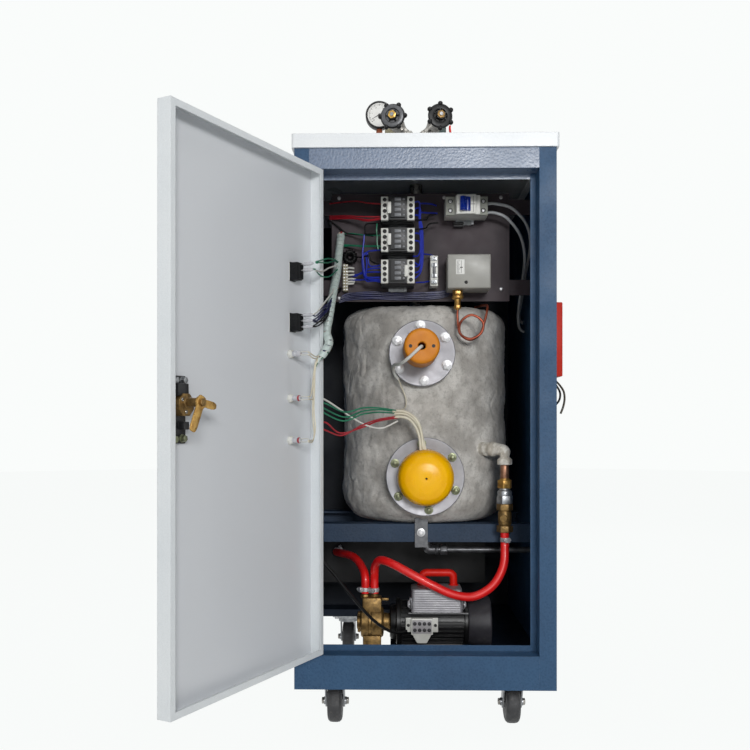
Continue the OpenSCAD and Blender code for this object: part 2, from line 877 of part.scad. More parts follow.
// Fuse holder, terminal strip and ring core on the panel
module panel_terminals() {
  color([0.75, 0.74, 0.7]) {
    difference() {
      block(fuse_x - fuse_w / 2, fuse_x + fuse_w / 2, panel_y - 40, panel_y, fuse_z - fuse_h / 2, fuse_z + fuse_h / 2);
      for (s = [-1, 1])
        translate([fuse_x, panel_y - 34, fuse_z + s * 0.4 * fuse_h])
          rod_front(2.5, 10);
    }
    block(terminal_x - terminal_w / 2, terminal_x + terminal_w / 2, panel_y - 16, panel_y,
      terminal_z - terminal_h / 2, terminal_z + terminal_h / 2);
    translate([core_x, panel_y, core_z])
      difference() {
        rod_front(core_r, 16);
        translate([0, -8, 0])
          rod_front(0.4 * core_r, 10);
      }
  }
}

module capillary() {
  color(COPPER)
    cord(placed(CAPILLARY), capillary_d);
}

module supply_cables() {
  color([0.7, 0.71, 0.72]) {
    cord(placed(SUPPLY_A), lead_d);
    cord(placed(SUPPLY_B), lead_d);
  }
}

// Feed pipe from the vessel's side down to the check valve
module feed_pipe() {
  reach = norm([feed_x - vessel_x, feed_y - vessel_y]);
  color(BRASS) {
    translate([vessel_x, vessel_y, feed_z])
      rotate([0, 0, feed_turn])
        translate([0, -vessel_r + feed_in, 0])
          rod_front(feed_d / 2, reach - vessel_r + feed_in);
    translate([feed_x, feed_y, feed_z])
      sphere(feed_d / 2 + 2);
    translate([feed_x, feed_y, union_z])
      cylinder(r = feed_d / 2, h = feed_z - union_z);
    translate([feed_x, feed_y, feed_z - 24])
      cylinder(r = feed_d / 2 + 3, h = 14);
    translate([feed_x, feed_y, union_z])
      cylinder(r = feed_d / 2 + 6, h = union_h, $fn = 6);
  }
}

module check_valve() {
  r = feed_d / 2;
  color(BRASS)
    translate([feed_x, feed_y, union_z - check_h]) {
      cylinder(r = r + 2, h = check_h);
      cylinder(r = r + 6, h = 12, $fn = 6);
      translate([0, 0, check_h - 12])
        cylinder(r = r + 6, h = 12, $fn = 6);
      translate([0, 0, 16])
        cylinder(r = r + 5, h = 22);
    }
}

// The two red hoses of the pump
module red_hoses() {
  color(RED) {
    cord(placed(FEED), hose_d, 12);
    cord(placed(SUCTION), hose_d, 12);
  }
}

module drain_pipe() {
  color(GALVANISED) {
    translate([drain_x, drain_y, drain_z])
      cylinder(r = drain_d / 2, h = vessel_z + pocket - drain_z);
    translate([drain_x, drain_y, drain_z])
      sphere(drain_d / 2 + 3);
    translate([drain_x, drain_y, drain_z])
      rod_x(drain_d / 2 + 3, 20);
    translate([drain_x, drain_y, drain_z])
      rod_x(drain_d / 2, body_w / 2 + drain_out - drain_x);
  }
}

// Feed water tank on the back wall, with its inlet through the wall
module water_tank() {
  color(BLACK) {
    block(tank_x0, tank_x1, tank_y0, back - sheet_t, tank_z0, tank_z0 + tank_h);
    translate([inlet_x, back + inlet_out, inlet_z])
      rod_front(inlet_d / 2, inlet_out + 20);
  }
}

// Pump
module pump_motor() {
  color(BLACK) {
    translate([motor_x, motor_y, motor_z]) {
      rod_x(motor_r - 3, motor_len);
      for (a = [20:20:340])
        if (a > 200 || a < 160)
          rotate([a, 0, 0])
            block(8, motor_len - 8, -1, 1, motor_r - 5, motor_r - 0.5);
      rod_x(motor_r, 8);
      translate([motor_len - 8, 0, 0])
        rod_x(motor_r, 8);
      translate([-bell_len, 0, 0])
        rod_x(head_r + 4, bell_len);
      translate([motor_len, 0, 0])
        rod_x(motor_r + fan_over, fan_len);
    }
    block(motor_x + 12, motor_x + motor_len - 12, motor_y - 40, motor_y + 40, floor_z, floor_z + motor_foot);
    block(block_x + 12, block_x + block_w - 12, motor_y - motor_r, motor_y - motor_r + 12,
      block_z - block_h + 2, block_z - 6);
  }
}

module pump_head() {
  x0 = head_x + head_cover;
  x1 = motor_x - bell_len - head_neck;
  color(BRASS) {
    translate([x0, motor_y, motor_z])
      rod_x(head_r, x1 - x0);
    translate([head_x, motor_y, motor_z])
      rod_x(head_r / 2, head_cover + cut);
    translate([x1 - cut, motor_y, motor_z])
      rod_x(head_r * 0.6, head_neck + cut);
    block(x0 + 2, x1 - 3, motor_y - 16, motor_y + 16, motor_z, port_z);
    block(x0 + 4, x1 - 5, motor_y - 20, motor_y + 20, floor_z, motor_z);
    for (x = [port_in_x, port_out_x])
      translate([x, motor_y, port_z - 4])
        cylinder(r = port_r, h = port_top - port_z + 4);
  }
}

module capacitor_box() {
  color([0.7, 0.71, 0.73])
    difference() {
      block(cap_box_x, cap_box_x + cap_box_w, cap_box_y, cap_box_y + cap_box_d, cap_box_z, cap_box_z + cap_box_h);
      translate([cap_box_x - cut, motor_y, motor_z])
        rod_x(motor_r + seat, cap_box_w + 2 * cut);
    }
}

module pump_handle() {
  x0 = cap_box_x + 22;
  x1 = cap_box_x + cap_box_w - 15;
  y = motor_y - 6;
  z = cap_box_z + cap_box_h;
  color(RED) {
    for (x = [x0, x1])
      translate([x, y, z]) {
        cylinder(r = handle_r, h = handle_h);
        translate([0, 0, handle_h])
          sphere(handle_r);
      }
    translate([x0, y, z + handle_h])
      rod_x(handle_r, x1 - x0);
  }
}

module pump_terminals() {
  y = motor_y - motor_r - seat;
  z = block_z;
  color(WHITE)
    difference() {
      union() {
        block(block_x, block_x + block_w, y - 4, y, z - block_h + 4, z);
        block(block_x + 10, block_x + block_w - 10, y - block_dp, y, z - block_h, z);
        block(block_x + 17, block_x + block_w - 17, y - 8, y, z - block_h - 16, z - block_h);
      }
      for (i = [-1.5:1:1.5], h = [8, 17])
        translate([block_x + block_w / 2 + i * 9, y - block_dp + 3, z - block_h + h])
          rod_front(2, 8);
    }
}

// Leads of the pump and of the lower heater
module inner_leads() {
  color(BLACK) {
    cord(placed(PUMP_LEAD), 7);
    cord(placed(HEATER_LEAD), 9);
  }
}

// Steam manifold on the lid, with a branch to the gauge and one to the safety valve
module steam_manifold() {
  color(NICKEL) {
    translate([fork_x, fork_y, vessel_z + vessel_h - pocket])
      cylinder(r = riser_d / 2, h = fork_z - vessel_z - vessel_h + pocket - 8);
    translate([fork_x, fork_y, lid_top])
      cylinder(r = riser_d / 2 + 9, h = 6);
    translate([fork_x, fork_y, fork_z - 8])
      sphere(riser_d / 2 + 2);
    translate([fork_x, header_y, header_z])
      rod_front(header_r, header_y - fork_y);
    translate([gauge_x, header_y, header_z])
      rod_x(header_r, safety_x - gauge_x);
    for (x = [gauge_x, safety_x])
      translate([x, header_y, header_z])
        sphere(header_r);
    translate([gauge_x, header_y, header_z])
      cylinder(r = 7, h = gauge_z - gauge_d / 2 - header_z - gauge_boss);
    translate([gauge_x + 25, header_y, header_z])
      cylinder(r = 10, h = gauge_z - header_z - 28, $fn = 6);
    translate([safety_x, header_y, header_z])
      cylinder(r = 10, h = safety_base);
  }
}

// Angle valves that lean out to both sides
module valve(s) {
  translate([fork_x, fork_y, fork_z - 8])
    rotate([0, s * valve_lean, 0]) {
      translate([0, 0, riser_d / 2 + 2.2])
        cylinder(r = valve_r - 2, h = stem_along - riser_d / 2);
      translate([0, 0, 22])
        cylinder(r = valve_r + 3, h = 14, $fn = 6);
      translate([0, 0, stem_along])
        sphere(valve_r + 4);
    }
  translate(stem_foot(s)) {
    rotate([0, 0, s * stem_turn])
      rod_front(valve_r - 1, 30);
    rotate([0, 0, s * stem_turn])
      rod_front(4, stem_len);
    rotate([0, 0, 180 + s * outlet_turn])
      rod_front(steam_d / 2, valve_r + 4 + steam_len);
  }
}

function stem_foot(s) = [fork_x + s * stem_along * sin(valve_lean), fork_y, fork_z - 8 + stem_along * cos(valve_lean)];

module steam_valves() {
  color(NICKEL)
    for (s = [-1, 1])
      valve(s);
}

// Handwheel with six balls round its rim
module handwheel(s) {
  rim = handwheel_d / 2 - 5;
  color(BLACK)
    translate(stem_foot(s))
      rotate([0, 0, s * stem_turn])
        translate([0, -stem_len + 15, 0])
          rotate([90, 0, 0])
            difference() {
              union() {
                cylinder(r = rim - 2, h = 9);
                cylinder(r = 10, h = 13);
                for (a = [0:60:300])
                  rotate([0, 0, a + 30 * (s + 1) / 2])
                    translate([rim, 0, 4.5])
                      sphere(5, $fn = 24);
              }
              translate([0, 0, -cut])
                cylinder(r = 4 + run, h = 13 + 2 * cut);
            }
}

module handwheel_left() {
  handwheel(-1);
}

module handwheel_right() {
  handwheel(1);
}

module gauge() {
  color(BLACK)
    translate([gauge_x, header_y + gauge_t / 2, gauge_z])
      difference() {
        rod_front(gauge_d / 2, gauge_t);
        translate([0, -gauge_t + 2, 0])
          rod_front(gauge_d / 2 - 3, 3);
      }
  color(COPPER)
    translate([gauge_x, header_y, gauge_z - gauge_d / 2 - gauge_boss])
      cylinder(r = 6, h = gauge_boss + 2);
}

module safety_valve() {
  color([0.3, 0.36, 0.34]) {
    translate([safety_x, header_y, header_z + safety_base])
      cylinder(r = safety_d / 2, h = safety_z - header_z - safety_base - 8);
    translate([safety_x, header_y, safety_z - 8])
      cylinder(r = safety_d / 2 - 4, h = 8);
  }
  color([0.3, 0.36, 0.34])
    translate([safety_x, header_y, lever_z])
      difference() {
        block(0, lever_x - safety_x + 5, -8, 8, -5, 5);
        block(lever_x - safety_x - 6, lever_x - safety_x + 6, -5, 5, -6, 6);
      }
  color([0.3, 0.36, 0.34])
    translate([lever_x, header_y + 8, lever_z])
      rod_front(2, 16);
}

// Test lever beside the safety valve
module safety_lever() {
  color(RED)
    translate([lever_x, header_y, lever_z])
      difference() {
        union() {
          translate([0, 4.5, 0])
            rod_front(5, 9);
          rotate([0, -lever_lean, 0])
            block(-lever_t / 2, lever_t / 2, -4.5, 4.5, 0, lever_len);
        }
        translate([0, 10, 0])
          rod_front(2 + run, 20);
      }
}

// Terminal cover on the right wall and the leads that end below it
module terminal_cover() {
  color([0.7, 0.17, 0.14])
    difference() {
      block(body_w / 2, body_w / 2 + cover_w, cover_y, cover_y + cover_d, cover_z, cover_z + cover_h);
      block(body_w / 2 + 6, body_w / 2 + cover_w - 8, cover_y - cut, cover_y + 10, cover_z + 8, cover_z + 60);
    }
}

module cable_tails() {
  color(BLACK) {
    cord(placed(TAIL_LOOP), tail_d);
    cord(placed(TAIL_BARE), tail_d);
  }
}

// Door: a folded pan with a skin outside and a return flange round the inside
module door_panel() {
  color(WHITE)
    on_door()
      difference() {
        union() {
          block(0, door_w, 0, door_t, door_z0, door_z1);
          for (z = hinge_z)
            translate([0, 0, z - hinge_len / 2 + hinge_ear + seat])
              cylinder(r = hinge_sleeve_r, h = hinge_len - 2 * hinge_ear - 2 * seat);
        }
        block(hinge_sleeve_r + door_skin, door_w - door_skin, door_skin, door_t - door_skin, door_z0 + door_skin,
          door_z1 - door_skin);
        block(door_return, door_w - door_return, door_skin, door_t + cut, door_z0 + door_return,
          door_z1 - door_return);
        for (z = hinge_z)
          translate([0, 0, z - hinge_len / 2]) {
            translate([0, 0, -cut])
              cylinder(r = hinge_r + run, h = hinge_len + 2 * cut);
            for (h = [-seat, hinge_len - hinge_ear - seat])
              translate([0, 0, h])
                cylinder(r = hinge_sleeve_r + 0.5, h = hinge_ear + 2 * seat);
          }
        for (z = switch_z)
          block(switch_s - switch_w / 2, switch_s + switch_w / 2, -cut, door_t, z - switch_h / 2, z + switch_h / 2);
        for (z = lamp_z)
          translate([lamp_s, door_t, z])
            rod_front(lamp_d / 2 + seat, door_t + cut);
        translate([lock_s, door_t, lock_z])
          rod_front(lock_r, door_t + cut);
      }
}

// Rocker switches and pilot lamps
module door_fittings() {
  color(BLACK)
    on_door() {
      for (z = switch_z) {
        block(switch_s - switch_w / 2 + seat, switch_s + switch_w / 2 - seat, -1, switch_dp,
          z - switch_h / 2 + seat, z + switch_h / 2 - seat);
        block(switch_s - switch_w / 2 - 2, switch_s + switch_w / 2 + 2, -2, 0, z - switch_h / 2 - 2,
          z + switch_h / 2 + 2);
      }
      for (z = lamp_z) {
        translate([lamp_s, lamp_dp, z])
          rod_front(lamp_d / 2, lamp_dp + 1);
        translate([lamp_s, 0, z])
          rod_front(lamp_d / 2 + 3, 3);
      }
    }
}

// Lock body on the door's skin, with a bearing for the cam's spindle
module door_lock() {
  color([0.15, 0.15, 0.16])
    on_door()
      difference() {
        union() {
          block(lock_s - 14, lock_s + 22, door_skin, door_skin + lock_t, lock_z - 57, lock_z + 35);
          translate([lock_s, cam_in - 2, lock_z])
            rod_front(lock_r - seat, cam_in - 2);
          translate([lock_s, 0, lock_z])
            rod_front(lock_r + 5, 4);
        }
        translate([lock_s, cam_in + cut, lock_z])
          rod_front(5 + run, cam_in + 6 + 2 * cut);
      }
}

// Cam that turns behind the jamb's lip
module lock_cam() {
  color(BRASS)
    on_door()
      translate([lock_s, cam_in, lock_z]) {
        rotate([90, 0, 0])
          translate([0, 0, -cam_t]) {
            cylinder(r = 9, h = cam_t);
            rotate([0, 0, cam_rest])
              translate([0, -6, 0])
                cube([cam_arm, 12, cam_t]);
            rotate([0, 0, cam_rest - 105])
              translate([0, -5, 0])
                cube([cam_tail, 10, cam_t]);
          }
        rod_front(5, cam_in + 5);
      }
}

module door_loom() {
  color([0.75, 0.74, 0.7])
    cord(placed(LOOM), loom_d);
}

// Castors: bolted plate with race and kingpin, fork with axle, wheel
module at_castor(c) {
  translate([c.x * swivel_x, c.y * swivel_y, 0])
    children();
}

module castor_plates() {
  color(GALVANISED)
    for (c = CORNERS)
      at_castor(c) {
        block(-plate_w / 2, plate_w / 2, -plate_d / 2, plate_d / 2, castor_h - plate_t, castor_h);
        translate([0, 0, race_z])
          cylinder(r = race_r, h = race_h);
        translate([0, 0, crown_z])
          cylinder(r = king_r, h = crown_h + seat);
      }
}

module fork(c) {
  color(GREY)
    at_castor(c)
      difference() {
        union() {
          translate([0, 0, crown_z])
            cylinder(r = race_r, h = crown_h);
          for (s = [-1, 1])
            scale([s, 1, 1])
              translate([leg_in, 0, 0])
                rotate([90, 0, 90])
                  linear_extrude(leg_t)
                    fork_leg();
          translate([-leg_in - leg_t, castor_trail, axle_z])
            rod_x(axle_r, 2 * (leg_in + leg_t));
          for (s = [-1, 1])
            scale([s, 1, 1])
              translate([leg_in + leg_t, castor_trail, axle_z])
                rod_x(7, 3);
        }
        translate([0, 0, crown_z - cut])
          cylinder(r = king_r + run, h = crown_h + 2 * cut);
      }
}

module fork_leg() {
  polygon([[-14, crown_z + crown_h], [14, crown_z + crown_h], [castor_trail + 10, axle_z + 4],
    [castor_trail - 10, axle_z - 4]]);
  translate([castor_trail, axle_z])
    circle(11);
}

module fork_front_left() {
  fork(CORNERS[0]);
}

module fork_front_right() {
  fork(CORNERS[1]);
}

module fork_rear_left() {
  fork(CORNERS[2]);
}

module fork_rear_right() {
  fork(CORNERS[3]);
}

// Wheel: a tyre on a dished centre, bored for the axle
module wheel_profile() {
  half = wheel_w / 2;
  tyre_r = 6;
  difference() {
    union() {
      translate([wheel_d / 2 - 16, -half])
        square([16 - tyre_r, wheel_w]);
      translate([wheel_d / 2 - tyre_r - cut, -half + tyre_r])
        square([tyre_r + cut, wheel_w - 2 * tyre_r]);
      for (s = [-1, 1])
        translate([wheel_d / 2 - tyre_r, s * (half - tyre_r)])
          circle(tyre_r);
      translate([8, -4])
        square([wheel_d / 2 - 20, 8]);
    }
    translate([0, -half])
      square([axle_r + run, wheel_w]);
  }
  translate([axle_r + run, -hub_w / 2])
    square([7, hub_w]);
}

module wheel(c) {
  color(BLACK)
    at_castor(c)
      translate([0, castor_trail, axle_z])
        rotate([0, 90, 0])
          rotate_extrude($fn = 72)
            wheel_profile();
}

module wheel_front_left() {
  wheel(CORNERS[0]);
}

module wheel_front_right() {
  wheel(CORNERS[1]);
}

module wheel_rear_left() {
  wheel(CORNERS[2]);
}

module wheel_rear_right() {
  wheel(CORNERS[3]);
}

left_wall();
right_wall();
back_wall();
left_stile();
right_stile();
top_rail();
bottom_rail();
lid();
base_channels();
floor_plate();
vessel_beams();
vessel();
vessel_lugs();
heater_flanges();
upper_cap();
lower_cap();
panel_plate();
mounting_rails();
contactors();
contactor_strips();
breaker();
breaker_toggle();
pressure_controller();
panel_terminals();
capillary();
supply_cables();
feed_pipe();
check_valve();
red_hoses();
drain_pipe();
water_tank();
pump_motor();
pump_head();
capacitor_box();
pump_handle();
pump_terminals();
inner_leads();
steam_manifold();
steam_valves();
handwheel_left();
handwheel_right();
gauge();
safety_valve();
safety_lever();
terminal_cover();
cable_tails();
door_panel();
door_fittings();
door_lock();
lock_cam();
door_loom();
castor_plates();
fork_front_left();
fork_front_right();
fork_rear_left();
fork_rear_right();
wheel_front_left();
wheel_front_right();
wheel_rear_left();
wheel_rear_right();
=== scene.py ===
# %% [markdown]
# # A vertical electric steam boiler in its cabinet
#
# The construction of this boiler is already packed as CAD bodies. Here it gets its looks. Every new piece is worked
# out in millimetres, in the same frame as the CAD, and is turned into metres when it is put into the scene. The CAD
# bodies stay where they are: they only get finishes, or a finer piece stands for them.

import math

import bpy
import numpy as np
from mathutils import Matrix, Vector

import bmesh


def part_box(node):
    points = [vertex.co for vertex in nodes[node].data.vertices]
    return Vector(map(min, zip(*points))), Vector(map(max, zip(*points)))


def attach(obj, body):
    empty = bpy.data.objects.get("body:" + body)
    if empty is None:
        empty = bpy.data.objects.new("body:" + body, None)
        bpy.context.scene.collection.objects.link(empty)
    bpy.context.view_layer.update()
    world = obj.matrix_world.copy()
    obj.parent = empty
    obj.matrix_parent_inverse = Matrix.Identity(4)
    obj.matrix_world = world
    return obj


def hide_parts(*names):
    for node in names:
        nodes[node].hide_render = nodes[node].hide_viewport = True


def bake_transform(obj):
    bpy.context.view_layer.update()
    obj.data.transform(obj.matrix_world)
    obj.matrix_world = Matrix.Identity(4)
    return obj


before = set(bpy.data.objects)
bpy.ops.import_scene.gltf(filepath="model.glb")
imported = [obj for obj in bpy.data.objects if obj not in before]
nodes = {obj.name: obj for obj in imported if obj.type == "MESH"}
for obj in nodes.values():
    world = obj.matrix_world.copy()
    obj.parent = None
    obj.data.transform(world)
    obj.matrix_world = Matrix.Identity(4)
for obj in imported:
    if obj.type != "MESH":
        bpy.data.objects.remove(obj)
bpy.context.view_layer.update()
MM = 0.001


# %% [markdown]
# ## Shapes from arrays
#
# A shell is a pair: an array of points in millimetres and a list of faces. Most solids of this boiler are either
# turned (valves, caps, bolts), cut from bar with soft edges (blocks, plates) or carried along a path (hoses, wires).
# Three functions on a two parameter grid cover them, so a modelling tool with its clicks isn't needed.

# %% Grids and the three solids
def grid(points, close_u=False, close_v=True, caps=True):
    """Joins a grid of points[u, v] into faces: each face takes (u, v), (u+1, v), (u+1, v+1), (u, v+1). caps closes
    both ends in u."""
    n_u, n_v = points.shape[:2]
    u = np.arange(n_u if close_u else n_u - 1)[:, None]
    v = np.arange(n_v if close_v else n_v - 1)[None, :]
    u1, v1 = (u + 1) % n_u, (v + 1) % n_v
    quads = np.stack([u * n_v + v, u1 * n_v + v, u1 * n_v + v1, u * n_v + v1], axis=-1)
    faces = quads.reshape(-1, 4).tolist()
    if caps and not close_u:
        faces.append(list(range(n_v))[::-1])
        faces.append(list(range((n_u - 1) * n_v, n_u * n_v)))
    return points.reshape(-1, 3), faces


def softened(line, radius, steps=3, closed=False):
    """Rounds each corner of a flat line: it is cut back by the radius on both sides, and a quadratic curve joins the
    cuts."""
    line = np.asarray(line, float)
    n = len(line)
    radii = np.broadcast_to(np.asarray(radius, float), (n,))
    out = []
    for i in range(n):
        if not closed and i in (0, n - 1):
            out.append(line[i])
            continue
        a, b, c = line[i - 1], line[i], line[(i + 1) % n]
        la, lc = np.linalg.norm(a - b), np.linalg.norm(c - b)
        cut = min(radii[i], la * 0.45, lc * 0.45)
        if cut < 1e-4:
            out.append(b)
            continue
        p, q = b + (a - b) * cut / la, b + (c - b) * cut / lc
        for t in np.linspace(0, 1, steps + 1):
            out.append((1 - t) ** 2 * p + 2 * t * (1 - t) * b + t * t * q)
    return np.array(out)


def turned(profile, steps=32, soft=0.0):
    """A turned solid: profile rows are (height, radius), each carried round the Z axis in a circle of that radius."""
    profile = softened(profile, soft) if soft else np.asarray(profile, float)
    angle = np.linspace(0, 2 * np.pi, steps, endpoint=False)
    r = np.maximum(profile[:, 1], 0.02)[:, None]
    z = np.repeat(profile[:, 0][:, None], steps, axis=1)
    return grid(np.stack([r * np.cos(angle), r * np.sin(angle), z], axis=-1))


def inset(outline, depth):
    """Moves each point of a closed flat outline inwards by depth, along the mean of its two edges' normals."""
    back, ahead = np.roll(outline, 1, axis=0), np.roll(outline, -1, axis=0)
    e1, e2 = outline - back, ahead - outline
    n1 = np.stack([-e1[:, 1], e1[:, 0]], 1) / (np.linalg.norm(e1, axis=1)[:, None] + 1e-9)
    n2 = np.stack([-e2[:, 1], e2[:, 0]], 1) / (np.linalg.norm(e2, axis=1)[:, None] + 1e-9)
    mean = n1 + n2
    mean /= np.maximum((mean * n1).sum(1), 0.4)[:, None]
    return outline + mean * depth


def raised(outline, low, high, soft=0.6, steps=2):
    """A bar with soft edges: the outline (counter-clockwise) rises from low to high, and near both ends it is inset
    along a quarter circle."""
    soft = min(soft, (high - low) * 0.45)
    turn = np.linspace(0, np.pi / 2, steps + 1)
    depth = np.concatenate([soft * (1 - np.sin(turn)), soft * (1 - np.sin(turn[::-1]))])
    height = np.concatenate([low + soft * (1 - np.cos(turn)), high - soft * (1 - np.cos(turn[::-1]))])
    rings = [np.column_stack([inset(outline, d), np.full(len(outline), h)]) for d, h in zip(depth, height)]
    return grid(np.array(rings))


def oblong(w, h, r=1.0, at=(0.0, 0.0), steps=2):
    """A rectangle w by h about a point, with its corners rounded to r, counter-clockwise."""
    x, y = w / 2, h / 2
    corners = np.array([[-x, -y], [x, -y], [x, y], [-x, y]]) + np.asarray(at, float)
    return softened(corners, r, steps, closed=True)


def ring_line(r, steps=24, start=0.0):
    """A circle of radius r, as points counter-clockwise."""
    a = np.linspace(0, 2 * np.pi, steps, endpoint=False) + start
    return np.column_stack([r * np.cos(a), r * np.sin(a)])


def hexagon(flats, soft=0.4):
    """A hexagon that measures flats across its flat sides, with its corners eased."""
    return softened(ring_line(flats / math.sqrt(3), 6), soft, 2, closed=True)


# %% Turning and placing shells
def aim(direction, turn=0.0):
    """A rotation that takes Z to the direction: X is the level cross direction, turned by an angle about the new
    Z."""
    z = np.asarray(direction, float) / np.linalg.norm(direction)
    side = np.cross([0, 0, 1.0], z)
    x = np.array([1.0, 0, 0]) if np.linalg.norm(side) < 1e-6 else side / np.linalg.norm(side)
    y = np.cross(z, x)
    c, s = math.cos(math.radians(turn)), math.sin(math.radians(turn))
    return np.column_stack([c * x + s * y, c * y - s * x, z])


def placed(shell, at=(0, 0, 0), direction=(0, 0, 1), turn=0.0):
    """Carries a shell to a point, with its own Z along the direction."""
    points, faces = shell
    return points @ aim(direction, turn).T + np.asarray(at, float), faces


def box(x0, x1, y0, y1, z0, z1, soft=0.8, corner=None):
    """A block between six planes, with eased edges."""
    corner = soft * 1.4 if corner is None else corner
    line = oblong(x1 - x0, y1 - y0, min(corner, (x1 - x0) * 0.4, (y1 - y0) * 0.4), ((x0 + x1) / 2, (y0 + y1) / 2))
    return raised(line, z0, z1, min(soft, (x1 - x0) * 0.3, (y1 - y0) * 0.3))


def smooth_path(points, step=4.0):
    """A smooth line through the points: a Catmull-Rom curve, where each span leaves along half the chord of its
    neighbours."""
    p = np.asarray(points, float)
    p = np.vstack([2 * p[0] - p[1], p, 2 * p[-1] - p[-2]])
    out = []
    for i in range(1, len(p) - 2):
        count = max(2, int(np.linalg.norm(p[i + 1] - p[i]) / step))
        t = np.linspace(0, 1, count, endpoint=False)[:, None]
        a, b, c, d = p[i - 1], p[i], p[i + 1], p[i + 2]
        out.append(0.5 * (2 * b + (c - a) * t + (2 * a - 5 * b + 4 * c - d) * t**2 + (3 * b - a - 3 * c + d) * t**3))
    out.append(p[-2:-1])
    return np.vstack(out)


def carried(path, radius, steps=12, squash=1.0, closed=False):
    """A round section carried along a path: the section's own X turns with the path as little as it can, so that it
    doesn't twist."""
    path = np.asarray(path, float)
    radius = np.broadcast_to(np.asarray(radius, float), (len(path),))
    along = np.gradient(path, axis=0)
    if closed:
        along = np.roll(path, -1, axis=0) - np.roll(path, 1, axis=0)
    along /= np.linalg.norm(along, axis=1)[:, None]
    first = np.cross(along[0], [0.13, 0.31, 0.94])
    x = [first / np.linalg.norm(first)]
    for t in along[1:]:
        v = x[-1] - t * (x[-1] @ t)
        x.append(v / np.linalg.norm(v))
    x = np.array(x)
    y = np.cross(along, x)
    a = np.linspace(0, 2 * np.pi, steps, endpoint=False)
    cx, cy = np.cos(a)[None, :, None], (np.sin(a) * squash)[None, :, None]
    rings = path[:, None] + radius[:, None, None] * (cx * x[:, None] + cy * y[:, None])
    if closed:
        return grid(rings, close_u=True, caps=False)
    return grid(rings)


def wire(points, diameter, step=4.0, steps=8):
    """A wire of one diameter on a smooth line through the points."""
    return carried(smooth_path(points, step), diameter / 2, steps)


# %% Putting a piece into the scene
def put(name, shells, finish, body="cabinet", stands_for=(), sharp=34.0):
    """Joins the shells in one object at the origin, in metres, turns its faces outwards and makes it ride on a CAD
    body.

    A pair of bodies isn't blended: the piece is baked in place as it stands and rides on neither body.
    """
    points, faces, start = [], [], 0
    for p, f in shells:
        points.append(p)
        faces += [[i + start for i in face] for face in f]
        start += len(p)
    mesh = bpy.data.meshes.new(name)
    mesh.from_pydata((np.vstack(points) * MM).tolist(), [], faces)
    work = bmesh.new()
    work.from_mesh(mesh)
    bmesh.ops.remove_doubles(work, verts=work.verts, dist=1e-6)
    bmesh.ops.recalc_face_normals(work, faces=work.faces)
    work.to_mesh(mesh)
    work.free()
    mesh.shade_smooth()
    mesh.set_sharp_from_angle(angle=math.radians(sharp))
    piece = bpy.data.objects.new(name, mesh)
    bpy.context.scene.collection.objects.link(piece)
    mesh.materials.append(finish)
    if stands_for:
        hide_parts(*stands_for)
    if isinstance(body, tuple):
        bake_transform(piece)
    else:
        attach(piece, body)
    return piece
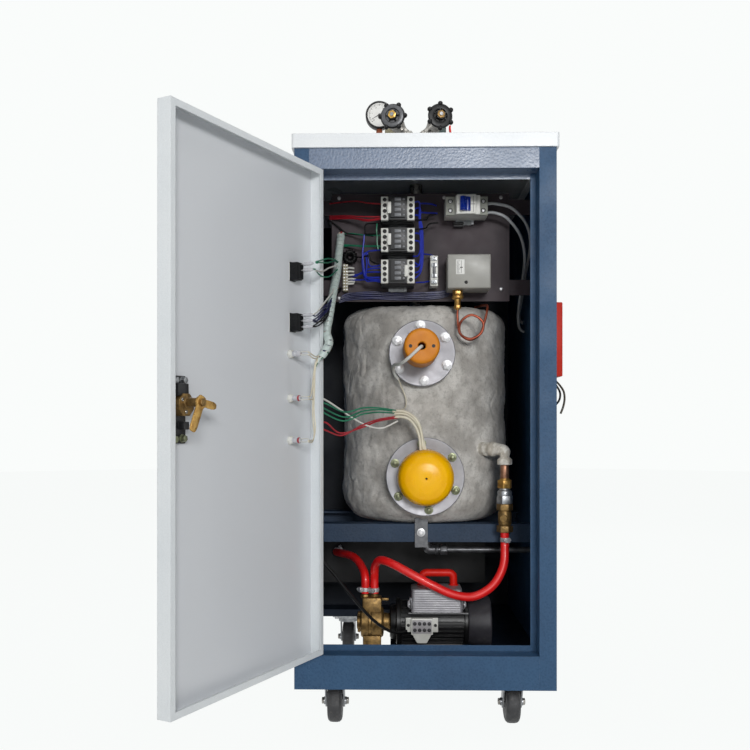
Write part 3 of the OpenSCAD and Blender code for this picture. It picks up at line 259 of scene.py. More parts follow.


# %% [markdown]
# ## Finishes
#
# Each finish is one Principled shader. Its colour, roughness and bump come from noise on Object coordinates, which are
# metres in the boiler's own frame, so a grain of 3 mm is a noise scale of about 330. A Bevel node lets light catch the
# edges of the sheet metal, and the same node shows where the edge is, so a lighter tone can be painted there: partly
# worn paint, partly a painted highlight. The rims of the hammer dimples get a lighter tone too, partly the paint's own
# mottle and partly a painted highlight, and some finishes paint shade on faces that lie deep in the cabinet. Metal,
# enamel and plastic share one recipe and differ only in its numbers.

# %% The recipe for a finish
def finish(name, colour, second=None, patch=40.0, rough=(0.4, 0.55), metal=0.0, grain=(1.2, 0.05), hammer=None,
        edge=0.5, wear_and_highlight=None, dirt=None, coat=0.0, brushed=None, sheen=0.0, spread=(0.35, 0.65), skin=None, gloss=0.5):
    """A shader whose colour mixes two tones by a noise of the size patch (mm), with grain = (size, height) in mm as
    bump."""
    material = bpy.data.materials.new(name)
    material.use_nodes = True
    tree = material.node_tree
    shader = tree.nodes["Principled BSDF"]
    link = tree.links.new

    def node(kind, **values):
        made = tree.nodes.new("ShaderNode" + kind)
        for key, value in values.items():
            if key in made.inputs:
                made.inputs[key].default_value = value
            else:
                setattr(made, key, value)
        return made

    where_to = node("TexCoord")
    place = where_to.outputs["Object"]
    if brushed:
        stretch = node("Mapping")
        stretch.inputs["Scale"].default_value = brushed
        link(place, stretch.inputs["Vector"])
        fine_place = stretch.outputs["Vector"]
    else:
        fine_place = place

    def noise(size, detail=3.0, where=place, roughness=0.55):
        made = node("TexNoise", Scale=1000.0 / size, Detail=detail, Roughness=roughness)
        link(where, made.inputs["Vector"])
        return made.outputs["Fac"]

    def window(value, low, high, to_low=0.0, to_high=1.0):
        made = node("MapRange", clamp=True)
        for key, number in zip(("From Min", "From Max", "To Min", "To Max"), (low, high, to_low, to_high)):
            made.inputs[key].default_value = number
        link(value, made.inputs["Value"])
        return made.outputs["Result"]

    def mixed(share, a, b):
        made = node("Mix", data_type="RGBA")
        link(share, made.inputs["Factor"])
        for side, value in (("A", a), ("B", b)):
            socket = next(s for s in made.inputs if s.name == side and s.type == "RGBA")
            if isinstance(value, tuple):
                socket.default_value = (*value, 1.0)
            else:
                link(value, socket)
        return next(s for s in made.outputs if s.type == "RGBA")

    second = second or tuple(c * 0.86 for c in colour)
    fine = noise(grain[0], 4.0, fine_place)
    tone = mixed(window(noise(patch), *spread), tuple(colour), tuple(second))
    tone = mixed(window(fine, 0.3, 0.7, 0.0, 0.16), tone, tuple(c * 0.55 for c in second))
    height = fine
    # hammer = (cell size, dimple height, share): the cells dimple the bump, and their rims get a lighter tone, partly
    # the paint's own mottle and partly a painted highlight
    if hammer:
        cells = node("TexVoronoi", feature="SMOOTH_F1", Scale=1000.0 / hammer[0], Smoothness=0.35)
        link(place, cells.inputs["Vector"])
        dimple = window(cells.outputs["Distance"], 0.0, 0.75)
        tone = mixed(window(cells.outputs["Distance"], 0.1, 0.6, 0.0, hammer[2]), tone,
            tuple(min(1, c * 1.5 + 0.02) for c in colour))
        height = dimple
        grain = (grain[0], hammer[1])
    if dirt:
        cloud = window(noise(dirt[0], 6.0, roughness=0.7), dirt[1], dirt[1] + 0.16, 0.0, dirt[2])
        tone = mixed(cloud, tone, dirt[3])
    # painted shade: faces that look along the direction and lie beyond the limit take the darker shade tone
    if skin:
        direction, limit, shade_tone = skin
        shares = []
        for source, low, high in ((where_to.outputs["Normal"], 0.45, 0.55), (place, limit, limit - 0.001)):
            along = node("VectorMath", operation="DOT_PRODUCT")
            link(source, along.inputs[0])
            along.inputs[1].default_value = direction
            shares.append(window(along.outputs["Value"], low, high))
        both = node("Math", operation="MULTIPLY")
        link(shares[0], both.inputs[0])
        link(shares[1], both.inputs[1])
        tone = mixed(both.outputs[0], tone, shade_tone)
    bump = node("Bump", Strength=1.0, Distance=grain[1] * MM)
    link(height, bump.inputs["Height"])
    if edge:
        bevel = node("Bevel", samples=4, Radius=edge * MM)
        link(bevel.outputs["Normal"], bump.inputs["Normal"])
        # a lighter tone on the eased edges, broken up by nicks of noise: partly worn paint, partly a painted highlight
        # along the edge
        if wear_and_highlight:
            geometry = node("NewGeometry")
            turn = node("VectorMath", operation="DOT_PRODUCT")
            link(bevel.outputs["Normal"], turn.inputs[0])
            link(geometry.outputs["Normal"], turn.inputs[1])
            rim = window(turn.outputs["Value"], 0.80, 0.97, 1.0, 0.0)
            nick = window(noise(9.0, 5.0), 0.45, 0.6, 0.0, wear_and_highlight[1])
            both = node("Math", operation="MULTIPLY")
            link(rim, both.inputs[0])
            link(nick, both.inputs[1])
            tone = mixed(both.outputs[0], tone, wear_and_highlight[0])
    link(bump.outputs["Normal"], shader.inputs["Normal"])
    link(tone, shader.inputs["Base Color"])
    link(window(noise(patch * 0.6, 4.0), 0.3, 0.7, *rough), shader.inputs["Roughness"])
    shader.inputs["Metallic"].default_value = metal
    shader.inputs["Specular IOR Level"].default_value = gloss
    shader.inputs["Coat Weight"].default_value = coat
    shader.inputs["Sheen Weight"].default_value = sheen
    return material


def srgb(r, g, b):
    """A colour read off as 0 to 255 on screen, as the linear value that a shader takes."""
    c = np.array([r, g, b]) / 255
    return tuple(float(v) for v in np.where(c <= 0.04045, c / 12.92, ((c + 0.055) / 1.055) ** 2.4))


# %% The finishes of this boiler
DUST = srgb(150, 140, 125)
F = {
    "cabinet": finish("hammertone_blue", srgb(40, 74, 106), srgb(34, 64, 94), 90, (0.44, 0.58), 0.0, (0.8, 0.03),
        hammer=(4.2, 0.12, 0.24), edge=0.9, wear_and_highlight=(srgb(104, 120, 138), 0.7),
        dirt=(60, 0.60, 0.20, srgb(28, 44, 64)), gloss=0.3),
    # painted light: the top rail is a lighter copy of the cabinet's blue paint, for the light and reflection it takes
    # from above
    "rail": finish("hammertone_painted_light", srgb(82, 98, 122), srgb(66, 84, 110), 120, (0.26, 0.38), 0.0, (0.8, 0.03),
        hammer=(4.2, 0.14, 0.40), edge=0.9, wear_and_highlight=(srgb(140, 150, 164), 0.7),
        dirt=(90, 0.52, 0.30, srgb(70, 88, 112)), coat=0.3),
    "white": finish("white_enamel", srgb(226, 229, 231), srgb(219, 223, 226), 160, (0.26, 0.36), 0.0, (1.6, 0.018),
        edge=1.2, dirt=(45, 0.70, 0.10, DUST), coat=0.2),
    # painted shade: the inner skin of the open door is a greyer copy of its white enamel
    "door": finish("door_enamel", srgb(224, 228, 230), srgb(217, 222, 225), 160, (0.30, 0.42), 0.0, (1.8, 0.018),
        edge=1.2, dirt=(45, 0.72, 0.08, DUST), coat=0.15,
        skin=((0.891, -0.454, 0.0), -0.0200, srgb(206, 209, 213))),
    "panel": finish("panel_enamel", srgb(66, 57, 61), srgb(57, 50, 54), 70, (0.5, 0.62), 0.0, (1.0, 0.03), edge=0.6,
        gloss=0.22,
        dirt=(30, 0.62, 0.2, srgb(88, 82, 80))),
    "zinc": finish("zinc", srgb(188, 190, 192), srgb(150, 153, 157), 7, (0.28, 0.48), 0.85, (0.7, 0.02), edge=0.4,
        dirt=(14, 0.62, 0.35, srgb(98, 94, 88))),
    "bolt": finish("bright_bolt", srgb(214, 214, 216), srgb(190, 190, 192), 5, (0.34, 0.46), 0.55, (0.6, 0.008),
        edge=0.0,
        dirt=(6, 0.62, 0.3, srgb(110, 106, 98))),
    "flange": finish("turned_flange", srgb(168, 167, 172), srgb(150, 150, 155), 24, (0.42, 0.56), 0.45, (0.9, 0.02),
        edge=0.5,
        dirt=(16, 0.60, 0.35, srgb(112, 108, 100))),
    "black": finish("black_plastic", srgb(26, 26, 28), srgb(34, 34, 36), 20, (0.38, 0.52), 0.0, (0.7, 0.02), edge=0.3,
        dirt=(12, 0.62, 0.3, srgb(66, 64, 62))),
    "paint_black": finish("black_paint", srgb(12, 12, 13), srgb(20, 20, 22), 30, (0.30, 0.44), 0.0, (1.0, 0.03),
        edge=0.5,
        wear_and_highlight=(srgb(60, 60, 62), 0.5), dirt=(22, 0.62, 0.25, srgb(46, 45, 44)), gloss=0.3),
    # painted shade: the back wall's inner face, seen through the doorway, is nearly black
    "back": finish("hammertone_back", srgb(40, 74, 106), srgb(34, 64, 94), 90, (0.44, 0.58), 0.0, (0.8, 0.03),
        hammer=(4.2, 0.12, 0.24), edge=0.9, wear_and_highlight=(srgb(104, 120, 138), 0.7), gloss=0.3,
        skin=((0.0, -1.0, 0.0), -0.30, srgb(16, 24, 36))),
    "cabinet_dark": finish("hammertone_shaded", srgb(20, 32, 48), srgb(15, 24, 38), 90, (0.5, 0.62), 0.0, (0.8, 0.03),
        hammer=(4.2, 0.12, 0.16), edge=0.9, gloss=0.2),
    # painted shade: the beams deep in the cabinet are a darker copy of the cabinet's blue paint
    "beam": finish("hammertone_painted_shade", srgb(30, 52, 76), srgb(24, 44, 66), 90, (0.46, 0.6), 0.0, (0.8, 0.03),
        hammer=(4.2, 0.12, 0.2), edge=0.9, wear_and_highlight=(srgb(84, 98, 114), 0.6), gloss=0.3),
    "white_plastic": finish("white_plastic", srgb(222, 222, 216), srgb(208, 208, 202), 15, (0.34, 0.46), 0.0,
        (0.8, 0.012),
        edge=0.3, dirt=(9, 0.64, 0.3, srgb(150, 146, 136))),
    "grey_plastic": finish("grey_plastic", srgb(120, 122, 126), srgb(104, 106, 110), 14, (0.36, 0.5), 0.0,
        (0.8, 0.015),
        edge=0.3, dirt=(9, 0.62, 0.3, srgb(70, 70, 70))),
    "blue_plastic": finish("blue_plastic", srgb(22, 50, 150), srgb(16, 38, 128), 12, (0.22, 0.32), 0.0, (0.8, 0.01),
        edge=0.3),
    "beige": finish("controller_enamel", srgb(160, 159, 153), srgb(151, 150, 144), 30, (0.34, 0.46), 0.0, (0.9, 0.02),
        edge=0.5, dirt=(16, 0.66, 0.2, srgb(130, 124, 110))),
    "ivory": finish("ivory_moulding", srgb(186, 178, 152), srgb(170, 162, 136), 12, (0.4, 0.52), 0.0, (0.8, 0.02),
        edge=0.3,
        dirt=(8, 0.6, 0.4, srgb(96, 88, 72))),
    "amber": finish("amber_cap", srgb(212, 132, 26), srgb(200, 120, 20), 26, (0.46, 0.58), 0.0, (1.2, 0.03), edge=0.5,
        gloss=0.3,
        dirt=(12, 0.64, 0.3, srgb(150, 92, 38))),
    "yellow": finish("yellow_cap", srgb(255, 192, 0), srgb(252, 182, 0), 40, (0.24, 0.34), 0.0, (1.5, 0.015),
        edge=0.0, gloss=0.3,
        dirt=(16, 0.68, 0.2, srgb(200, 128, 0))),
    "copper": finish("copper_tube", srgb(176, 92, 68), srgb(138, 66, 48), 16, (0.34, 0.5), 0.7, (0.6, 0.01), edge=0.0,
        dirt=(9, 0.6, 0.4, srgb(96, 56, 40))),
    "sheath": finish("grey_sheath", srgb(176, 178, 180), srgb(160, 163, 166), 20, (0.4, 0.52), 0.0, (0.9, 0.02),
        edge=0.0,
        dirt=(14, 0.62, 0.3, srgb(110, 108, 104))),
    "black_sheath": finish("black_sheath", srgb(11, 11, 12), srgb(16, 16, 18), 20, (0.38, 0.52), 0.0, (0.8, 0.02),
        edge=0.0,
        dirt=(12, 0.64, 0.2, srgb(34, 33, 32)), gloss=0.25),
    "brass": finish("brass", srgb(204, 164, 92), srgb(158, 118, 60), 9, (0.24, 0.44), 0.7, (0.9, 0.03), edge=0.4,
        dirt=(10, 0.56, 0.5, srgb(82, 58, 32))),
    "hose": finish("hose_rubber", srgb(242, 36, 34), srgb(228, 24, 24), 40, (0.30, 0.42), 0.0, (1.0, 0.02), edge=0.0,
        dirt=(16, 0.64, 0.3, srgb(140, 22, 22)), coat=0.15),
    "red": finish("dipped_red", srgb(222, 30, 16), srgb(204, 22, 12), 26, (0.36, 0.48), 0.0, (1.2, 0.02), edge=0.4,
        dirt=(12, 0.66, 0.2, srgb(130, 24, 18)), gloss=0.25),
    "cover_red": finish("cover_red", srgb(194, 40, 18), srgb(182, 32, 14), 60, (0.42, 0.54), 0.0, (1.2, 0.025),
        edge=0.7, gloss=0.25,
        wear_and_highlight=(srgb(206, 70, 40), 0.4)),
    "nickel": finish("cast_nickel", srgb(164, 161, 156), srgb(112, 109, 104), 8, (0.22, 0.42), 0.85, (1.1, 0.05),
        edge=0.4,
        dirt=(8, 0.56, 0.5, srgb(76, 68, 58))),
    "green_grey": finish("green_grey", srgb(92, 108, 104), srgb(76, 92, 90), 16, (0.34, 0.5), 0.25, (0.9, 0.03),
        edge=0.4,
        dirt=(9, 0.6, 0.4, srgb(52, 58, 56))),
    "wheel_black": finish("handwheel_black", srgb(9, 9, 10), srgb(15, 15, 16), 12, (0.34, 0.46), 0.0, (1.0, 0.03),
        edge=0.0,
        gloss=0.25),
    "tread": finish("castor_tread", srgb(58, 58, 60), srgb(44, 44, 46), 14, (0.5, 0.66), 0.0, (0.9, 0.04), edge=0.5,
        dirt=(9, 0.56, 0.5, srgb(104, 100, 94))),
    "hub": finish("castor_hub", srgb(128, 128, 130), srgb(106, 106, 108), 12, (0.4, 0.54), 0.0, (0.9, 0.02), edge=0.4,
        dirt=(9, 0.58, 0.5, srgb(70, 66, 62))),
    "steel": finish("castor_steel", srgb(158, 160, 162), srgb(120, 122, 126), 10, (0.28, 0.46), 0.85, (0.8, 0.02),
        edge=0.4,
        dirt=(9, 0.58, 0.5, srgb(84, 78, 70))),
    "lock_black": finish("lock_black", srgb(40, 40, 42), srgb(30, 30, 32), 14, (0.32, 0.46), 0.3, (0.9, 0.02),
        edge=0.4,
        wear_and_highlight=(srgb(110, 106, 98), 0.7)),
    "card": finish("card", srgb(238, 238, 234), srgb(230, 230, 226), 20, (0.5, 0.6), 0.0, (0.6, 0.01), edge=0.0),
    # near black: painted shade in holes, wells, slots and gaps, and also the print of the dial and the scale
    "terminal_hole": finish("dark_recess", srgb(16, 15, 15), srgb(24, 22, 22), 6, (0.5, 0.7), 0.0, (0.6, 0.02),
        edge=0.0),
    "wire_red": finish("wire_red", srgb(168, 26, 40), srgb(150, 20, 34), 20, (0.34, 0.44), 0.0, (1, 0.01), edge=0.0),
    "wire_blue": finish("wire_blue", srgb(34, 52, 176), srgb(26, 42, 156), 20, (0.32, 0.42), 0.0, (1, 0.01),
        edge=0.0),
    "wire_green": finish("wire_green", srgb(28, 120, 88), srgb(22, 104, 76), 20, (0.34, 0.44), 0.0, (1, 0.01),
        edge=0.0),
    "wire_white": finish("wire_white", srgb(214, 214, 208), srgb(200, 200, 194), 20, (0.36, 0.48), 0.0, (1, 0.01),
        edge=0.0,
        dirt=(10, 0.64, 0.25, srgb(150, 146, 136))),
    "wire_cream": finish("wire_cream", srgb(222, 216, 196), srgb(206, 198, 176), 20, (0.4, 0.5), 0.0, (1, 0.01),
        edge=0.0),
}
print(len(F), "finishes")


# %% [markdown]
# ## The camera and the light
#
# The photograph was taken almost level, from about 1.5 m in front of the cabinet and a little to its left, so the
# lid shows only its edge. The lens was found from the cabinet's own edges. A shift keeps the uprights parallel, as a
# studio camera does, where tilting the camera would make them lean.

# %% The camera
view = bpy.data.cameras.new("studio_camera")
view.lens = 41.93
view.sensor_width = 36.0
view.shift_y = 0.0632
camera = bpy.data.objects.new("studio_camera", view)
camera.location = (-0.0567, -1.810, 0.543)
camera.rotation_euler = (math.radians(90.05), 0.0, math.radians(1.12))
bpy.context.scene.collection.objects.link(camera)
bpy.context.scene.camera = camera


# %% [markdown]
# The light is a studio's: a key lamp in front, a little to the right and only a little above, so that the top rail
# throws its shadow on the panel, a weak wide lamp from the left, lamps above and behind, and a pale surrounding.
# The backdrop is white for the camera and in reflections only, so it doesn't wash out the shadows inside the
# cabinet.

# %% Lamps, backdrop and floor
def lamp(name, at, towards, width, height, power):
    """A flat rectangular lamp that faces a point."""
    light = bpy.data.lights.new(name, "AREA")
    light.shape = "RECTANGLE"
    light.size, light.size_y, light.energy = width, height, power
    holder = bpy.data.objects.new(name, light)
    holder.location = at
    holder.rotation_euler = (Vector(towards) - Vector(at)).to_track_quat("-Z", "Y").to_euler()
    bpy.context.scene.collection.objects.link(holder)


lamp("key_lamp", (0.8, -5.2, 1.85), (0, -0.2, 0.60), 1.5, 1.0, 150)
lamp("fill_lamp", (-1.9, -2.0, 1.3), (0, -0.2, 0.6), 1.2, 1.6, 6)
lamp("top_lamp", (0.0, -0.2, 2.8), (0, -0.1, 0.8), 1.8, 1.6, 18)
lamp("back_lamp", (0.6, 2.6, 1.6), (0, 0.3, 0.5), 1.6, 1.4, 16)

PAPER = (0.955, 0.975, 0.965, 1.0)


def pale_for_camera(tree, lit, shown):
    """Mixes two shaders by Light Path: what the camera, a gloss or a glass ray meets is shown, all other rays meet
    lit."""
    path = tree.nodes.new("ShaderNodeLightPath")
    most = tree.nodes.new("ShaderNodeMath")
    most.operation = "MAXIMUM"
    tree.links.new(path.outputs["Is Camera Ray"], most.inputs[0])
    tree.links.new(path.outputs["Is Glossy Ray"], most.inputs[1])
    more = tree.nodes.new("ShaderNodeMath")
    more.operation = "MAXIMUM"
    tree.links.new(most.outputs[0], more.inputs[0])
    tree.links.new(path.outputs["Is Transmission Ray"], more.inputs[1])
    mix = tree.nodes.new("ShaderNodeMixShader")
    tree.links.new(more.outputs[0], mix.inputs[0])
    tree.links.new(lit, mix.inputs[1])
    tree.links.new(shown, mix.inputs[2])
    return mix.outputs[0]


world = bpy.data.worlds.new("pale_surrounding")
bpy.context.scene.world = world
world.use_nodes = True
tree = world.node_tree
tree.nodes.clear()
lit = tree.nodes.new("ShaderNodeBackground")
lit.inputs["Color"].default_value = (1.0, 1.0, 1.0, 1.0)
lit.inputs["Strength"].default_value = 0.17
shown = tree.nodes.new("ShaderNodeBackground")
shown.inputs["Color"].default_value = PAPER
shown.inputs["Strength"].default_value = 1.0
out = tree.nodes.new("ShaderNodeOutputWorld")
tree.links.new(pale_for_camera(tree, lit.outputs[0], shown.outputs[0]), out.inputs["Surface"])

paper = bpy.data.materials.new("studio_floor")
paper.use_nodes = True
tree = paper.node_tree
matt = tree.nodes["Principled BSDF"]
matt.inputs["Base Color"].default_value = (0.86, 0.87, 0.86, 1.0)
matt.inputs["Roughness"].default_value = 0.9
glow = tree.nodes.new("ShaderNodeEmission")
glow.inputs["Color"].default_value = PAPER
part = tree.nodes.new("ShaderNodeMixShader")
part.inputs[0].default_value = 0.97
tree.links.new(matt.outputs[0], part.inputs[1])
tree.links.new(glow.outputs[0], part.inputs[2])
tree.links.new(pale_for_camera(tree, matt.outputs[0], part.outputs[0]),
    tree.nodes["Material Output"].inputs["Surface"])
angle = np.linspace(0, 2 * np.pi, 64, endpoint=False)
floor_mesh = bpy.data.meshes.new("studio_floor")
floor_mesh.from_pydata(np.column_stack([9 * np.cos(angle), 9 * np.sin(angle), np.zeros(64)]).tolist(), [],
    [list(range(64))])
floor_mesh.materials.append(paper)
floor = bpy.data.objects.new("studio_floor", floor_mesh)
bpy.context.scene.collection.objects.link(floor)
bpy.context.scene.view_settings.view_transform = "Standard"
print("camera at", tuple(round(v, 3) for v in camera.location))


# %% [markdown]
# ## The lagged vessel
#
# On the real boiler the steel vessel is wrapped in glass cloth and smeared with cement, so it is a squat drum with
# big soft corners, hand made swellings and fine creases. Sculpting would do it, but a sum of waves on one grid gives
# the same lumps, can be steered by a few numbers, and comes out the same each time.

# %% The lagging's surface
def lumps(points, size, seed):
    """A smooth field of about -1 to 1: the mean of 26 sine waves in chance directions, each about one size long."""
    draw = np.random.default_rng(seed)
    direction = draw.normal(size=(26, 3))
    direction /= np.linalg.norm(direction, axis=1)[:, None]
    pace = 2 * np.pi / size * draw.uniform(0.6, 1.5, 26)
    phase = draw.uniform(0, 2 * np.pi, 26)
    return np.sin(points @ (direction * pace[:, None]).T + phase).sum(-1) / math.sqrt(26 / 2) / 1.6


VESSEL_AT = np.array([10.0, 30.0])
VESSEL_R, VESSEL_LOW, VESSEL_TOP = 168.0, 347.0, 773.0
FORWARD = (0, -1, 0)
UPPER, UPPER_R = (0.0, 675.5), 63.0
LOWER, LOWER_R = (6.0, 441.5), 74.5
a = np.linspace(0, 2 * np.pi, 330, endpoint=False)
foot, shoulder = 52.0, 38.0
wall = np.linspace(VESSEL_LOW + foot, VESSEL_TOP - shoulder, 120)
bend = np.linspace(0, np.pi / 2, 22)
floor_r, top_r = np.linspace(0.4, VESSEL_R - foot, 26), np.linspace(0.4, VESSEL_R - shoulder, 26)
side_r = np.concatenate([floor_r[:-1], VESSEL_R - foot + foot * np.sin(bend), np.full(118, VESSEL_R),
        VESSEL_R - shoulder + shoulder * np.cos(bend), top_r[::-1][1:]])
side_z = np.concatenate([np.full(25, VESSEL_LOW), VESSEL_LOW + foot - foot * np.cos(bend), wall[1:-1],
        VESSEL_TOP - shoulder + shoulder * np.sin(bend), np.full(25, VESSEL_TOP)])
crown = np.clip((side_z - VESSEL_TOP + 2) / 2, 0, 1) * np.clip(1 - (side_r / 135) ** 2, 0, 1)
side_z = side_z + crown * 9
drum = np.stack([VESSEL_AT[0] + side_r[:, None] * np.cos(a), VESSEL_AT[1] + side_r[:, None] * np.sin(a),
        np.repeat(side_z[:, None], len(a), 1)], axis=-1)
out_r = np.gradient(side_z) / np.hypot(np.gradient(side_r), np.gradient(side_z))
out_z = -np.gradient(side_r) / np.hypot(np.gradient(side_r), np.gradient(side_z))
out = np.stack([out_r[:, None] * np.cos(a), out_r[:, None] * np.sin(a), np.repeat(out_z[:, None], len(a), 1)],
    axis=-1)
swell = 2.6 * lumps(drum, 150, 1) + 1.4 * lumps(drum, 60, 2) + 0.55 * lumps(drum, 22, 3)
crease = 1 - np.abs(lumps(drum * [1, 1, 0.45] + 9 * lumps(drum, 70, 5)[..., None], 74, 4)) * 9
swell -= 3.2 * np.clip(crease, 0, 1) ** 2 * np.clip(lumps(drum, 110, 6) + 0.2, 0, 1)
swell += 0.6 * np.abs(lumps(drum, 9, 8)) + 0.22 * lumps(drum, 5, 9)
swell += 3.4 * np.exp(-((drum[..., 0] - 160) ** 2 + (drum[..., 1] + 70) ** 2 + (drum[..., 2] - 491) ** 2) / 34**2)
top_or_foot = np.clip(np.minimum(side_z - VESSEL_LOW, 12) / 12, 0, 1)[:, None]
swell = np.clip(swell - 1.0, -6.0, 4.2) * top_or_foot
for (centre_x, centre_z), flange_r in ((UPPER, UPPER_R), (LOWER, LOWER_R)):
    away = np.hypot(drum[..., 0] - centre_x, drum[..., 2] - centre_z)
    front = drum[..., 1] < VESSEL_AT[1]
    swell = np.where(front & (away < flange_r + 3), np.minimum(swell, 2.0), swell)
lagging = drum + out * swell[..., None]
F["lagging"] = finish("cement_lagging", srgb(212, 209, 203), srgb(172, 168, 162), 46, (0.72, 0.9), 0.0, (3.0, 1.1),
    edge=0.0,
    dirt=(8, 0.5, 0.5, srgb(132, 128, 122)), sheen=0.1, spread=(0.38, 0.62))
put("vessel_lagging", [grid(lagging)], F["lagging"], stands_for=["vessel"], sharp=80)
print("lagging: %d faces, swell %.1f to %.1f mm" % (lagging.shape[0] * lagging.shape[1], swell.min(), swell.max()))


# %% [markdown]
# ## Flanges, bolts and heater caps
#
# Two electric heaters enter the vessel through bolted flanges. The upper cap is a thick amber moulding with a cable
# hole, the lower one a deep yellow dome. Both are turned shapes. A bolt is a washer, a hexagon and the faint dome on
# its head, made once and placed many times.

# %% Bolts and screws
def bolt(at, direction, flats=8.0, height=4.0, washer=None, turn=0.0, stud=0.0):
    """A hexagon head on a washer: the head's top is a shallow dome, and a stud may stand out of it."""
    washer = washer or flats * 0.72
    shells = [raised(ring_line(washer, 28), -0.4, 1.1, 0.3), raised(hexagon(flats), 1.0, 1.0 + height, 0.5)]
    shells.append(turned([(1.0 + height - 0.5, 0), (1.0 + height - 0.5, flats * 0.45),
                (1.0 + height + 0.35, flats * 0.34),
                (1.0 + height + 0.4, 0)], 20))
    if stud:
        thread = [(1.0 + height + i * 0.8, flats * (0.27 if i % 2 else 0.30)) for i in range(int(stud / 0.8))]
        shells.append(turned([(1.0, 0), (1.0, flats * 0.27)] + thread
                + [(thread[-1][0] + 0.5, flats * 0.2), (thread[-1][0] + 0.5, 0)], 16))
    return [placed(s, at, direction, turn) for s in shells]


def screw(at, direction, r=3.0, height=1.6, turn=30.0, slots=2):
    """A domed screw head with a cross or slot sunk in it: the dome's height falls away where |x| or |y| is under a
    tenth of the width."""
    rho = np.array([0.02, 0.12, 0.22, 0.34, 0.46, 0.56, 0.62, 0.7, 0.8, 0.9, 0.97, 1.0, 1.0]) * r
    top = height * np.array([1, 1, 0.99, 0.97, 0.94, 0.9, 0.86, 0.78, 0.62, 0.42, 0.24, 0.1, -0.6])
    angle = np.linspace(0, 2 * np.pi, 32, endpoint=False)
    x, y = rho[:, None] * np.cos(angle), rho[:, None] * np.sin(angle)
    z = np.repeat(top[:, None], 32, 1)
    sunk = (np.abs(x) < 0.13 * r) | ((np.abs(y) < 0.13 * r) & (slots == 2))
    z = z - 0.55 * height * (sunk & (rho[:, None] < 0.62 * r))
    return placed(grid(np.stack([x, y, z], -1)[::-1]), at, direction, turn)


def around(centre, r, count, first, y):
    """Points on an upright circle that faces the front: (x + r cos, y, z + r sin) at equal steps from a first
    angle."""
    angle = np.radians(first + np.arange(count) * 360.0 / count)
    return [(centre[0] + r * math.cos(t), y, centre[1] + r * math.sin(t)) for t in angle]


# %% The two flanges and their bolts
flanges = []
for (x, z), r in ((UPPER, UPPER_R), (LOWER, LOWER_R)):
    disc = turned([(0, 0), (0, r - 2), (2, r), (10.5, r), (12, r - 1.5), (12, r - 3), (11.6, r - 4.5), (11.6, 0)], 96)
    flanges.append(placed(disc, (x, -145, z), FORWARD))
    flanges.append(placed(turned([(-14, 0), (-14, r - 5), (0.2, r - 5), (0.2, 0)], 72), (x, -145, z), FORWARD))
put("flange_discs", flanges, F["flange"], stands_for=["heater_flanges"])
heads = [s for p in around(UPPER, 52.4, 6, 34, -157.0) for s in bolt(p, FORWARD, 15.5, 7.0, 10.0, turn=p[0])]
put("upper_flange_bolts", heads, F["bolt"])
F["stud"] = finish("passivated_stud", srgb(140, 146, 116), srgb(104, 106, 84), 6, (0.3, 0.5), 0.7, (0.6, 0.03),
    edge=0.0,
    dirt=(5, 0.5, 0.6, srgb(58, 54, 42)))
studs = [s for p in around(LOWER, 62.8, 6, 36, -157.0) for s in bolt(p, FORWARD, 13.0, 6.0, 8.5, turn=p[2], stud=7.0)]
put("lower_flange_studs", studs, F["stud"])

# %% The two heater caps
CAP = (UPPER[0] - 3.5, UPPER[1] + 5)
upper = turned([(0.3, 0), (0.3, 31.5), (3, 33), (60, 32.8), (96, 32.4), (101, 31), (103, 27), (103, 8.2),
        (101.5, 6.8), (70, 6.4),
        (70, 0)], 72, soft=1.6)
put("amber_heater_cap", [placed(upper, (CAP[0], -157, CAP[1]), FORWARD)], F["amber"],
    stands_for=["upper_cap"])
# painted shade: two near-black discs on the cap's face stand for its two holes, and a third darkens the bottom of the
# cable bore
recess = [placed(turned([(-0.3, 0), (-0.3, 3.2), (0.18, 3.2), (0.18, 0)], 20), (CAP[0] + dx, -260, CAP[1] - 0.5),
        FORWARD) for dx in (-20.5, 20.5)]
recess.append(placed(turned([(69, 0), (69, 6.3), (71, 6.3), (71, 0)], 24), (CAP[0], -157, CAP[1]), FORWARD))
put("amber_cap_recesses", recess, F["terminal_hole"])
lower = turned([(0.3, 0), (0.3, 52.2), (3, 53), (24, 53), (38, 51.6), (48, 47.4), (55, 39.6), (59.6, 28), (61.6, 15),
        (62, 2.6),
        (61, 2.0), (56, 1.9), (56, 0)], 96, soft=3.0)
put("yellow_heater_cap", [placed(lower, (LOWER[0], -157, LOWER[1]), FORWARD)], F["yellow"],
    stands_for=["lower_cap"])
# painted shade: a near-black disc at the bottom of the small hole in the dome's tip
put("yellow_cap_hole_shade", [placed(turned([(55.5, 0), (55.5, 1.8), (57, 1.8), (57, 0)], 16), (LOWER[0], -157, LOWER[1]),
            FORWARD)],
    F["terminal_hole"])
print("flanges with", 12, "bolts, two caps")

# %% The lugs under the vessel, their bolts and the drain
lug_bolts = [s for y, face in ((-114.0, (0, -1, 0)), (174.0, (0, 1, 0)))
    for s in bolt((-0.5, y, 331), face, 10.0, 5.0, 8.0, turn=12)]
put("lug_bolts", lug_bolts, F["bolt"])


# %% [markdown]
# ## Wires on the vessel
#
# The heater leads come from the door side in a loose bundle and slip into white sleeves before they reach the yellow
# cap. A wire is a round section carried along a smooth line, so a handful of points on the lagging is all that each
# one needs. Wires of one colour share an object.

